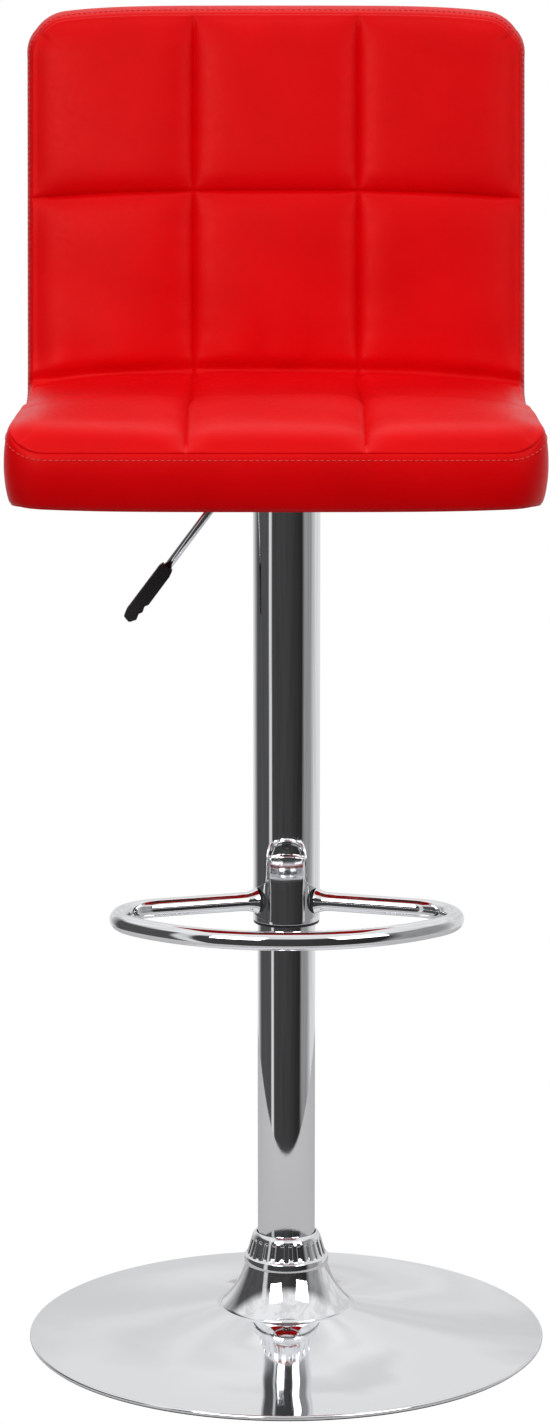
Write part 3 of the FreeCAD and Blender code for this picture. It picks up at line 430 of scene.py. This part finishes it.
def floor_finish():
    """White to the camera, and mid grey to light and reflections."""
    pale = material("pale_floor", grey(FLOOR_GREY), 0.0, 0.8, 0.1)
    links = pale.node_tree.links
    seen, mix = node(pale, "ShaderNodeLightPath"), node(pale, "ShaderNodeMixShader")
    links.new(seen.outputs["Is Camera Ray"], mix.inputs[0])
    links.new(shader_of(pale).outputs["BSDF"], mix.inputs[1])
    links.new(node(pale, "ShaderNodeEmission").outputs["Emission"], mix.inputs[2])
    links.new(mix.outputs[0], pale.node_tree.nodes["Material Output"].inputs["Surface"])
    return pale


def studio():
    """A floor disc that ends a short way in front, and three soft lights from above."""
    scene = bpy.context.scene
    scene.view_settings.view_transform = "Standard"
    surroundings()
    bpy.ops.mesh.primitive_circle_add(vertices=96, radius=FLOOR_RADIUS, fill_type="NGON",
                                      location=(0, FLOOR_SHIFT, 0))
    floor = bpy.context.object
    floor.name = "floor"
    floor.data.materials.append(floor_finish())
    for name, stand, power, width, aim in LAMPS:
        lamp = bpy.data.lights.new(name, "AREA")
        lamp.energy, lamp.size = power, width
        item = bpy.data.objects.new(name, lamp)
        item.location = stand
        item.rotation_euler = (Vector((0, 0, aim)) - Vector(stand)).to_track_quat("-Z", "Y").to_euler()
        scene.collection.objects.link(item)


def camera():
    """From the front, a little above the seat, looking nine degrees down."""
    data = bpy.data.cameras.new("camera")
    data.sensor_width, data.lens = SENSOR, LENS
    item = bpy.data.objects.new("camera", data)
    item.location = CAMERA_PLACE
    item.rotation_euler = (math.radians(CAMERA_TILT), 0, 0)
    bpy.context.scene.collection.objects.link(item)
    bpy.context.scene.camera = item


studio()
camera()


# ---- Foot and column -----------------------------------------------------------------------------

SHEET = 1.6 * MM  # wall of the foot
CREASE = np.array([57, 30]) * MM  # radius and height where the bell meets the dish
NECK_RADIUS, NECK_BORE = 36 * MM, 26 * MM
BELL_LEAVES, DISH_LEAVES = 136, 347  # degrees at which each arc leaves the crease
FLOOR_RING_WIDTH, FLOOR_RING_ROUND = 17.6 * MM, 0.8 * MM
RIBS, RIB_DEPTH = 26, 1.3 * MM
RIB_SQUARENESS, RIB_BIAS = 14, 0.15  # steepness of the groove's sides, and how narrow the ribs are
TUBE_RADIUS, TUBE_WALL, COVER_WALL = 25 * MM, 1.8 * MM, 1.5 * MM
TUBE_SHOWS_FROM = 54 * MM  # above the standing tube's foot: the trim ring hides what is below
GUIDE_BORE, GUIDE_SLEEVE, GUIDE_LIP = 25.1 * MM, 27.1 * MM, 2.4 * MM


def top_of(name):
    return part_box(name)[1].z


def foot_of(name):
    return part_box(name)[0].z


def radius_of(name):
    low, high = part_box(name)
    return (high.x - low.x) / 2


def arc_between(start, degrees, end, steps):
    """Points of the arc that leaves start at an angle in degrees and ends at end."""
    chord = end - start
    lean = math.atan2(chord[1], chord[0]) - math.radians(degrees)
    lean = (lean + math.pi) % (2 * math.pi) - math.pi
    t = np.linspace(0, 1, steps)[:, None]
    right = np.array([chord[1], -chord[0]])
    turn = np.sin(lean * t) / np.sin(lean)
    return start + turn * (np.cos(lean * (1 - t)) * chord + np.sin(lean * (1 - t)) * right)


def foot_profile():
    """Bell down to a crease, shallow dish out to a rolled edge, and the sheet's inside."""
    radius, neck_top = radius_of("base_shell"), top_of("base_shell")
    rim = np.array([radius - 1.5 * MM, 5 * MM])
    rise = arc_between(CREASE, BELL_LEAVES, np.array([NECK_RADIUS, neck_top]), 30)[::-1]
    tuck = CREASE + np.array([[0.5, -0.9], [1.2, -1.1]]) * MM
    dish = arc_between(CREASE + [2.0 * MM, -1.0 * MM], DISH_LEAVES, rim, 70)
    edge = arc_points((radius - 2 * MM, 3 * MM), 2 * MM, 75, -80, 14)
    outer = np.concatenate([rise, tuck, dish, edge])
    under = np.concatenate([dish[::-1], rise[::-1]]) + [-0.4 * MM, -SHEET]
    under[:, 0] = np.minimum(under[:, 0], radius - SHEET - 1 * MM)
    inside = np.array([[NECK_BORE, neck_top - SHEET], [NECK_BORE, neck_top]])
    return np.concatenate([outer, [[radius - 3 * MM, 1.2 * MM]], under, inside])


def box_outline(inner, outer, foot, top, rounding):
    return rounded([(inner, foot, rounding), (outer, foot, rounding), (outer, top, rounding),
                    (inner, top, rounding)], 5)


def build_foot():
    place(turned("trumpet_foot", foot_profile(), 256, 40), "base", "polished_chrome", FOOT_CHROME,
          "base_shell")
    low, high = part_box("floor_ring")
    ring = box_outline(high.x - FLOOR_RING_WIDTH, high.x, low.z, high.z, FLOOR_RING_ROUND)
    place(turned("rubber_floor_ring", ring, 160, 50), "base", "black_rubber", RUBBER, "floor_ring")


def build_trim_ring():
    """Ribbed ring: at each angle the profile's radius less a groove of smooth, square-sided waves.

    The outline is (radius in mm, height in metres, share of the groove's depth).
    """
    low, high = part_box("trim_ring")
    foot, top = low.z, high.z
    band = foot + 7.5 * MM
    ribs = band + 16.5 * MM
    outline = [(25.4, foot, 0), (36.3, foot, 0), (36.8, foot + 0.5 * MM, 0), (36.8, band - 0.6 * MM, 0),
               (36.3, band, 0), (34.9, band + 0.3 * MM, 0)]
    outline += [(34.6 - 4.8 * t, band + (ribs - band) * t, min(1, 6 * t, 6 * (1 - t)))
                for t in np.linspace(0.04, 0.97, 12)]
    outline += [(29.7, ribs, 0), (29.4, ribs + 0.8 * MM, 0), (28.6, ribs + 2.6 * MM, 0),
                (27.2, top - 0.6 * MM, 0), (26.2, top, 0), (25.5, top - 0.9 * MM, 0)]
    outline = np.array([(r * MM, z, d) for r, z, d in outline])
    angle = np.linspace(0, 2 * math.pi, RIBS * 20, endpoint=False)
    wave = 1 / (1 + np.exp(-RIB_SQUARENESS * (np.cos(RIBS * angle) - RIB_BIAS)))
    radius = outline[:, :1] - outline[:, 2:] * RIB_DEPTH * wave[None]
    ring = about_column("ribbed_trim_ring", radius, outline[:, 1:2], angle, 40)
    place(ring, "base", "polished_chrome", CHROME, "trim_ring")


def tube_profile(outer, wall, foot, top, rounding=0.6 * MM):
    return rounded([(outer - wall, foot, 0), (outer, foot, rounding), (outer, top, rounding),
                    (outer - wall, top, 0)], 5)


def build_column():
    foot, top = foot_of("standing_tube"), top_of("standing_tube")
    standing = tube_profile(TUBE_RADIUS, TUBE_WALL, foot + TUBE_SHOWS_FROM, top)
    place(turned("standing_tube_chrome", standing, 128), "base", "polished_chrome", CHROME,
          "standing_tube")
    cover = tube_profile(radius_of("cover_tube"), COVER_WALL, foot_of("cover_tube"), top_of("cover_tube"))
    place(turned("cover_tube_chrome", cover, 128), "seat", "polished_chrome", CHROME, "cover_tube")
    low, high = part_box("guide_ring")
    lip = low.z + GUIDE_LIP
    ring = rounded([(GUIDE_BORE, low.z, 0.4 * MM), (high.x, low.z, 0.8 * MM), (high.x, lip, 0.3 * MM),
                    (GUIDE_SLEEVE, lip, 0), (GUIDE_SLEEVE, high.z, 0), (GUIDE_BORE, high.z, 0)], 5)
    place(turned("column_guide_ring", ring, 128), "seat", "black_plastic", BLACK_PLASTIC, "guide_ring")


# ---- Footrest ------------------------------------------------------------------------------------

REST_HEIGHT = (foot_of("footrest_loop") + top_of("footrest_loop")) / 2
REST_TUBE, REST_CORNER, REST_ARC = 8 * MM, 45.5 * MM, 176 * MM  # radii
ARM_SLOPE = math.radians(19)  # of the straight arms, forwards from straight out
ARM_ROOT = np.array([27, -17]) * MM
WELD_LENGTH, WELD_FLARE = 13 * MM, 3.2 * MM
TONGUE, WING = 16.5 * MM, 29.0 * MM  # half widths of the bracket's tongue and wings
WING_FOOT, WING_TOP = 7 * MM, 24 * MM  # above the bracket's foot
PLATE, PLATE_ROUND = 2.0 * MM, 1.4 * MM
PAD, PAD_HALF, PAD_SIDE, PAD_END, PAD_FROM_TOP = 3.0 * MM, 15.4 * MM, 2.4 * MM, 2.0 * MM, 13.5 * MM
RIM, RIM_INSET, RIM_WIDTH = 1.7 * MM, 1.9 * MM, 1.2 * MM


def rest_path():
    """Arm, corner arc, front arc about the column, corner arc, arm: tangent where they meet."""
    out = np.array([math.cos(ARM_SLOPE), -math.sin(ARM_SLOPE)])
    forward = np.array([-math.sin(ARM_SLOPE), -math.cos(ARM_SLOPE)])
    inside = ARM_ROOT + forward * REST_CORNER
    reach = REST_ARC - REST_CORNER
    shift = -inside @ out + math.sqrt((inside @ out) ** 2 - inside @ inside + reach ** 2)
    centre = inside + out * shift
    leave = math.degrees(math.atan2(*(-forward)[::-1]))
    meet = math.degrees(math.atan2(centre[1], centre[0]))
    start = ARM_ROOT + out * 3.0 * MM
    arm = start + np.linspace(0, 1, 14)[:-1, None] * (ARM_ROOT + out * shift - start)
    bend = arc_points(centre, REST_CORNER, leave, meet, 26)[:-1]
    front = arc_points((0, 0), REST_ARC, meet, -90, 40)
    half = np.concatenate([arm, bend, front])
    other = half[::-1][1:] * [-1, 1]
    flat = np.concatenate([half, other])
    return np.column_stack([flat, np.full(len(flat), REST_HEIGHT)])


def ease(value):
    """0 below 0, 1 above 1, and 3 v^2 - 2 v^3 between."""
    v = np.clip(value, 0, 1)
    return v * v * (3 - 2 * v)


def saddle_surface(tube):
    """Across, height and radius of the bracket's outside, as grids.

    At across x and height z it stands off the tube by the plate, plus the pad where x and z are inside
    the pad's arched outline, plus a rim that follows the arched top; all fade to nothing at the outline.
    """
    low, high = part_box("footrest_bracket")
    foot, arch = low.z, high.z - TONGUE
    wing_top = foot + WING_TOP
    crown_z = arch + TONGUE * np.sin(np.linspace(0, math.pi / 2, 40))
    z = np.concatenate([np.linspace(foot, arch, 120)[:-1], crown_z])
    flare = ease(1 - (z - wing_top) / (16 * MM)) ** 1.6 * ease((z - foot) / WING_FOOT + 0.35)
    width = TONGUE + (WING - TONGUE) * flare
    width = np.where(z > arch, np.sqrt(np.maximum(TONGUE ** 2 - (z - arch) ** 2, 1e-8)), width)
    t = np.sin(np.linspace(-math.pi / 2, math.pi / 2, 90))
    x, zz = width[:, None] * t, np.repeat(z[:, None], len(t), 1)
    crown = arch + np.sqrt(np.maximum(TONGUE ** 2 - np.minimum(np.abs(x), TONGUE) ** 2, 0))
    inset = np.minimum(width[:, None] - np.abs(x), np.where(zz > arch - TONGUE, crown - zz, 1))
    pad_top = high.z - PAD_FROM_TOP - PAD * (x / TONGUE) ** 2
    pad = PAD * ease((PAD_HALF - np.abs(x)) / PAD_SIDE) * ease((pad_top - zz) / PAD_END)
    rim = RIM * np.exp(-((inset - RIM_INSET) / RIM_WIDTH) ** 2) * ease((zz - pad_top + 6 * MM) / (4 * MM))
    plate = PLATE * np.sqrt(ease((inset + 0.1 * MM) / PLATE_ROUND))
    return x, zz, tube + (plate + (pad + rim) * ease(inset / RIM_WIDTH))


def build_saddle():
    """The bracket bent round the cover tube: a tongue that widens into two wings, with a raised pad."""
    tube = radius_of("cover_tube")
    x, height, radius = saddle_surface(tube)
    angle = np.arcsin(np.clip(x / (tube + PLATE), -0.96, 0.96))

    def wrapped(r):
        return np.stack([r * np.sin(angle), -r * np.cos(angle), height], -1).reshape(-1, 3)

    rows, columns = x.shape
    points = np.concatenate([wrapped(radius), wrapped(np.full_like(radius, tube - 0.2 * MM))])
    sheet, offset = grid_faces(rows, columns), rows * columns
    i, j = border_of(rows, columns)
    edge = i * columns + j
    skirt = np.stack([edge, np.roll(edge, -1), np.roll(edge, -1) + offset, edge + offset], -1)
    faces = np.concatenate([sheet, sheet[:, ::-1] + offset, skirt]).tolist()
    saddle = new_piece("footrest_saddle", points, faces, 50)
    place(saddle, "seat", "polished_chrome", CHROME, "footrest_bracket")


def build_footrest():
    loop = bar_along("footrest_tube", rest_path(), REST_TUBE, 40)
    place(loop, "seat", "polished_chrome", CHROME, "footrest_loop")
    build_saddle()
    place(refined_copy("bracket_screw", "saddle_screw"), "seat", "dark_screw", OXIDE, "bracket_screw")
    for name, side in (("left_weld", -1), ("right_weld", 1)):
        arm = np.array([side * math.cos(ARM_SLOPE), -math.sin(ARM_SLOPE), 0])
        root = np.array([side * ARM_ROOT[0], ARM_ROOT[1], REST_HEIGHT])
        t = np.linspace(0, 1, 14)
        flare = REST_TUBE + 0.05 * MM + WELD_FLARE * (1 - t) ** 2.4
        weld = bar_along(name, root + arm * (t[:, None] * WELD_LENGTH - 1 * MM), flare, 32)
        place(weld, "seat", "polished_chrome", CHROME)


build_foot()
build_trim_ring()
build_column()
build_footrest()


# ---- Lever ---------------------------------------------------------------------------------------


def build_lever():
    place(refined_copy("lever_rod", "lever_rod_chrome", 40), "lever", "polished_chrome", CHROME,
          "lever_rod")
    place(refined_copy("lever_grip", "lever_hand_grip", 40), "lever", "grip_plastic", GRIP, "lever_grip")


build_lever()


# ---- Upholstery ----------------------------------------------------------------------------------

BAND_LOW, BAND_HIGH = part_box("edge_band")
MIDDLE = (BAND_LOW.x + BAND_HIGH.x) / 2
HALF = (BAND_HIGH.x - BAND_LOW.x) / 2 - 2.4 * MM  # to the seams: the band swells beyond them
UNDER, BACK_TOP = BAND_LOW.z, BAND_HIGH.z
LEAN = math.tan(math.radians(8.3))
BACK_FOOT = (112, 823)  # (y, z) in mm on the plane of the back
SEAM_X = 72 * MM
LENGTH = 0.625  # of the quilted face, front seam to top seam
CORNER = 30 * MM
ROWS, COLUMNS, LAYERS = 226, 164, 20
LAYER_SHARES = (1 - np.cos(np.linspace(0, math.pi, LAYERS))) / 2  # of the way across the band
ROLL, ROLL_INSET, ROLL_WIDTH = 1.7 * MM, 2.6 * MM, 1.6 * MM  # the swollen rim beside a seam
SEAM_DROP = 1.5 * MM
PUFF, SEAM_DIP, CREASE_DIP = 7.0 * MM, 2.8 * MM, 5 * MM
TOP_SAG, FRONT_SAG = 9 * MM, 3.6 * MM  # how far the top drops at its corners and the front in its middle
RECESS_X, RECESS_Y, RECESS_DEPTH, RECESS_SIDE = 84 * MM, 70 * MM, 12 * MM, 3 * MM
BAND_SWELL, CORNER_SWELL = 4.5 * MM, 3.5 * MM
STITCH_PITCH, STITCH_LENGTH, STITCH_THICK = 4.7 * MM, 3.3 * MM, 0.38 * MM
STITCH_SHARE, STITCH_LIFT = 0.13, 0.25 * MM  # the row's place across the band, and its height on it


def back_at(height):
    """The back's front plane, in mm: Y at a height."""
    return BACK_FOOT[0] + LEAN * (height - BACK_FOOT[1])


def soft_line(corners, count, softness):
    """A line through (y, z) corners in mm, blurred over a softness in mm with its ends kept."""
    corners = np.array(corners, float)
    length = distance_along(corners)
    even = np.linspace(0, length[-1], 801)
    line = line_at(even, length, corners)
    reach = int(3 * softness / even[1])
    weight = np.exp(-0.5 * (np.arange(-reach, reach + 1) * even[1] / softness) ** 2)
    weight /= weight.sum()
    before, after = 2 * line[0] - line[reach:0:-1], 2 * line[-1] - line[-2:-reach - 2:-1]
    extended = np.concatenate([before, line, after])
    line = np.stack([np.convolve(values, weight, "valid") for values in extended.T], -1)
    return line_at(count * length[-1], even, line) * MM


def face_line(u, seat, back):
    """A line over seat then back, with the crease between them at one half."""
    first = soft_line(seat, np.clip(u * 2, 0, 1), 9)
    second = soft_line(back, np.clip(u * 2 - 1, 0, 1), 6)
    return np.where((u < 0.5)[:, None], first, second)


def ridge(distance, width, foot=0.0012):
    """Rises from a stitched line: 0 on it, near 1 a few widths away, with a narrow rounded foot."""
    return 1 - np.exp(-(np.sqrt(distance ** 2 + foot ** 2) - foot) / width)


def pulls(place_along, rate, drift, drift_rate, distance, reach, foot):
    """Waves along a seam, in radians per metre, that wander and die away from the stitching."""
    wave = np.sin(place_along * rate + drift * np.sin(place_along * drift_rate))
    return wave * np.exp(-distance / reach) * ridge(distance, foot)


def folds(uu, xx):
    """Soft pulls beside the crease and the upright seams, and slow lumps over the whole face."""
    crease = 0.5 * LENGTH
    above, below = np.clip(uu - crease, 0, None), np.clip(crease - uu, 0, None)
    lines = 1.7 * MM * pulls(xx, 95, 2.0, 31, above, 0.020, 0.005) * (uu > crease)
    lines += 0.9 * MM * pulls(xx, 80, 1.7, 23, below, 0.022, 0.005) * (uu < crease)
    lumps = (np.sin(xx * 17 + 4 * np.sin(uu * 9)) * np.sin(uu * 21 + 3 * np.sin(xx * 11 + 1))
             + 0.5 * np.sin(xx * 43 + uu * 31) * np.sin(uu * 47 - xx * 13))
    lines += 0.7 * MM * lumps * ridge(np.minimum(uu, LENGTH - uu), 0.02)
    column_gap = np.abs(np.abs(xx) - SEAM_X)
    return lines + 0.4 * MM * pulls(uu, 260, 3, 40, column_gap, 0.011, 0.004)


def sheet_rim(sheet, normal, u, v, length):
    """Rounds a sheet's corners to quarter circles and rolls its rim outwards just inside the seam.

    Near a corner, p and q are 1 on the two edges and 0 a corner radius inside them. A point moves in by
    (1 - max(p, q) / hypot(p, q)) radius along (p, q), and out by roll exp(-((e - inset) / width)^2), at
    e from the edge.
    """
    edge = (np.minimum(u, 1 - u) * length)[:, None] * np.ones(len(v))
    side = (HALF - np.abs(v) * HALF)[None, :] * np.ones((len(u), 1))
    p, q = np.clip(1 - edge / CORNER, 0, 1), np.clip(1 - side / CORNER, 0, 1)
    size = np.hypot(p, q) + 1e-9
    inwards = np.where((p > 0) & (q > 0), 1 - np.maximum(p, q) / size, 0) * CORNER * size
    near = np.minimum(edge, side)
    roll = ROLL * np.exp(-((near - ROLL_INSET) / ROLL_WIDTH) ** 2)
    shift = (roll - inwards) / size
    sheet += directions(sheet) * (np.where(u < 0.5, -1, 1)[:, None] * p * shift)[..., None]
    sheet[..., 0] += np.sign(v)[None, :] * q * shift
    sheet -= normal * (SEAM_DROP * np.exp(-(near / SEAM_DROP) ** 2))[..., None]
    return sheet


def pillows(uu, xx):
    """How far the quilting stands out: a pillow in every panel, a dip at every seam."""
    edge, gap = np.minimum(uu, LENGTH - uu), np.abs(uu - 0.5 * LENGTH)
    row_gap = np.minimum(np.abs(uu - 0.25 * LENGTH), np.abs(uu - 0.75 * LENGTH))
    column_gap, side_gap = np.abs(np.abs(xx) - SEAM_X), HALF - np.abs(xx)
    in_seat = uu < 0.5 * LENGTH
    row_depth = np.where(in_seat, 0.45 + 0.55 * ridge(row_gap, 0.014), ridge(row_gap, 0.010))
    puff = (PUFF * row_depth * ridge(column_gap, 0.010) * ridge(gap, 0.014) * ridge(edge, 0.011)
            * ridge(side_gap, 0.012))
    dips = np.exp(-column_gap / (1.8 * MM)) + np.exp(-row_gap / (1.6 * MM)) * ~in_seat
    puff = (puff - SEAM_DIP * dips) * (1 - np.exp(-np.minimum(edge, side_gap) / (6 * MM)))
    return puff - CREASE_DIP * np.exp(-(gap / 0.006) ** 2)


def quilted_sheet(u, v):
    """The quilted face: a line for the sides and one for the middle, and a pillow in every panel."""
    top = BACK_TOP / MM - 9.5
    side = face_line(u, [(-193, 794), (-174, 813), (-20, 818), (60, 816), (98, 821), (109, 831)],
                     [(109, 831), (back_at(850) + 1, 850), (back_at(top), top)])
    middle = face_line(u, [(-193, 794), (-176, 808), (-100, 827), (0, 822), (60, 825), (90, 831),
                           (108, 842)],
                       [(108, 842), (back_at(862) - 5, 862), (back_at(1000) - 8, 1000),
                        (back_at(top), top + 1)])
    uu, xx = np.meshgrid(u * LENGTH, v * HALF, indexing="ij")
    share = np.abs(xx / HALF)
    line = side[:, None] + (middle - side)[:, None] * (1 - share ** 3)[..., None]
    line[..., 1] -= (TOP_SAG * share ** 5) * np.clip((uu / LENGTH - 0.8) / 0.2, 0, 1) ** 2
    tangent = directions(side + middle)
    normal = np.stack([0 * tangent[:, 0], -tangent[:, 1], tangent[:, 0]], -1)[:, None]
    stands_out = pillows(uu, xx) + folds(uu, xx)
    points = np.concatenate([(MIDDLE + xx)[..., None], line], -1) + normal * stands_out[..., None]
    return sheet_rim(points, np.broadcast_to(normal, points.shape), u, v, LENGTH)


def plain_sheet(u, v):
    """The plain underside and rear, joined by the rounded heel, with a recess for the seat plate."""
    top = BACK_TOP / MM - 8
    heel = 160.5 + LEAN * (UNDER / MM - BACK_FOOT[1])
    corners = rounded([(-187, UNDER / MM + 1.5, 0), (heel, UNDER / MM + 0.8, 75),
                       (back_at(top) + 45, top, 0)], 60)
    length = distance_along(corners)
    line = line_at(u * length[-1], length, corners) * MM
    tangent = directions(line)
    outward = np.stack([0 * tangent[:, 0], tangent[:, 1], -tangent[:, 0]], -1)[:, None]
    grid = (len(u), len(v))
    xx, row = np.broadcast_to(v * HALF, grid), u[:, None]
    across = (MIDDLE + xx)[..., None]
    points = np.concatenate([across, np.broadcast_to(line[:, None], (*grid, 2))], -1).copy()
    share = np.abs(xx / HALF)
    points[..., 2] -= TOP_SAG * share ** 5 * np.clip((row - 0.85) / 0.15, 0, 1) ** 2
    points[..., 2] -= FRONT_SAG * (1 - share ** 4) * np.exp(-(row / 0.05) ** 2)
    rise = np.clip((RECESS_X - np.abs(points[..., 0])) / RECESS_SIDE, 0, 1)
    rise = rise * np.clip((RECESS_Y - np.abs(points[..., 1])) / RECESS_SIDE, 0, 1)
    points[..., 2] += RECESS_DEPTH * rise * (points[..., 2] < UNDER + 20 * MM)
    return sheet_rim(points, np.broadcast_to(outward, points.shape), u, v, length[-1] * MM)


def crowded(count, lines, first, last, pull, width):
    """Values drawn towards the stitched lines: density is 1 + pull exp(-(distance / width)^2)."""
    t = np.linspace(first, last, count * 8)
    density = 1 + sum(pull * np.exp(-((t - line) / width) ** 2) for line in lines)
    total = np.concatenate([[0], np.cumsum((density[1:] + density[:-1]) / 2)])
    return np.interp(np.linspace(0, total[-1], count), total, t)


def band_between(near, far, u, v):
    """The band between two seams: near + t (far - near) + swell sin(pi t)^0.6 outwards."""
    corner_u = np.clip(1 - np.minimum(u, 1 - u) * LENGTH / CORNER, 0, 1)
    corner_v = np.clip(1 - (1 - np.abs(v)) * HALF / CORNER, 0, 1)
    outward = np.zeros_like(near)
    outward[:, 0] = corner_v * np.sign(v)
    ends = np.where((u < 0.5)[:, None], [[0, -1, 0]], [[0, LEAN, 1]])
    outward += ends / np.where(u < 0.5, 1, 1.01)[:, None] * corner_u[:, None]  # 1.01: the lean's length
    outward /= np.linalg.norm(outward, axis=1, keepdims=True)
    crown = BAND_SWELL + CORNER_SWELL * corner_u * (u > 0.5)
    swell = np.sin(math.pi * LAYER_SHARES)[:, None] ** 0.6 * crown[None]
    return near + (far - near) * LAYER_SHARES[:, None, None] + outward * swell[..., None], outward


def upholstery():
    """A closed skin of two sheets and the band between them; gives back the band and its outward side."""
    u = crowded(ROWS, (0, 0.25, 0.5, 0.75, 1), 0, 1, 3.0, 0.012)
    v = crowded(COLUMNS, (-1, -SEAM_X / HALF, SEAM_X / HALF, 1), -1, 1, 3.0, 0.03)
    front, rear = quilted_sheet(u, v), plain_sheet(u, v)
    i, j = border_of(ROWS, COLUMNS)
    band, outward = band_between(front[i, j], rear[i, j], u[i], v[j])
    points = np.concatenate([front.reshape(-1, 3), rear.reshape(-1, 3), band[1:-1].reshape(-1, 3)])
    offset, count, border = ROWS * COLUMNS, len(i), i * COLUMNS + j
    sheet_faces = grid_faces(ROWS, COLUMNS)
    faces = np.concatenate([sheet_faces, sheet_faces[:, ::-1] + offset]).tolist()
    rings = [border] + [2 * offset + k * count + np.arange(count) for k in range(LAYERS - 2)]
    rings.append(border + offset)
    for a, b in zip(rings, rings[1:]):
        faces += np.stack([a, b, np.roll(b, -1), np.roll(a, -1)], -1).tolist()
    cushion = new_piece("quilted_seat_and_back", points, faces, 80)
    place(cushion, "seat", "red_vinyl", VINYL, "front_cover", "rear_cover", "edge_band", "seat_foam")
    return band, outward


def stitches(name, line, outward):
    """A row of thread lengths lying along a closed line, each a small six-sided bar with tapered ends."""
    ring = np.concatenate([line, line[:1]])
    away = np.concatenate([outward, outward[:1]])
    run = distance_along(ring)
    middle = np.arange(STITCH_PITCH / 2, run[-1], STITCH_PITCH)
    steps = np.array([-0.5, -0.36, 0.0, 0.36, 0.5]) * STITCH_LENGTH
    fat = np.array([0.15, 0.85, 1.0, 0.85, 0.15]) * STITCH_THICK
    lift = np.array([-0.5, 0.2, 0.5, 0.2, -0.5]) * STITCH_THICK
    count, sides = len(steps), 6
    where = (middle[:, None] + steps).ravel()
    normal = line_at(where, run, away).reshape(len(middle), count, 3)
    centre = line_at(where, run, ring).reshape(len(middle), count, 3) + normal * lift[None, :, None]
    along = centre[:, -1:] - centre[:, :1]
    side = np.cross(along / np.linalg.norm(along, axis=2, keepdims=True), normal)
    angle = np.radians(np.arange(0, 360, 360 // sides))
    circle = np.cos(angle)[:, None] * side[:, :, None] + np.sin(angle)[:, None] * normal[:, :, None]
    points = (centre[:, :, None] + circle * fat[None, :, None, None]).reshape(-1, 3)
    tube, end = grid_faces(count, sides, False, True), np.arange(sides)
    faces = []
    for first in range(0, len(middle) * count * sides, count * sides):
        faces += (tube + first).tolist()
        faces += [(end[::-1] + first).tolist(), (end + (count - 1) * sides + first).tolist()]
    place(new_piece(name, points, faces, 60), "seat", "red_vinyl", THREAD)


band, outward = upholstery()
layer = int(np.argmin(np.abs(LAYER_SHARES - STITCH_SHARE)))
stitches("front_topstitch", band[layer] + outward * STITCH_LIFT, outward)


# ---- Inner and hidden pieces ---------------------------------------------------------------------

FINISHES = {
    "painted_steel": PAINT, "cast_ballast": CASTING, "black_plastic": BLACK_PLASTIC,
    "bearing_steel": STEEL, "zinc_steel": ZINC, "black_rubber": RUBBER, "dark_screw": OXIDE,
    "plywood": PLY, "polished_chrome": CHROME, "red_vinyl": VINYL, "foam": VINYL, "grip_plastic": GRIP,
}
for part in frame["record"]["subparts"]:
    data = NODES[part["node"]].data
    data.materials.clear()
    data.materials.append(FINISHES[part["material_slot"]])
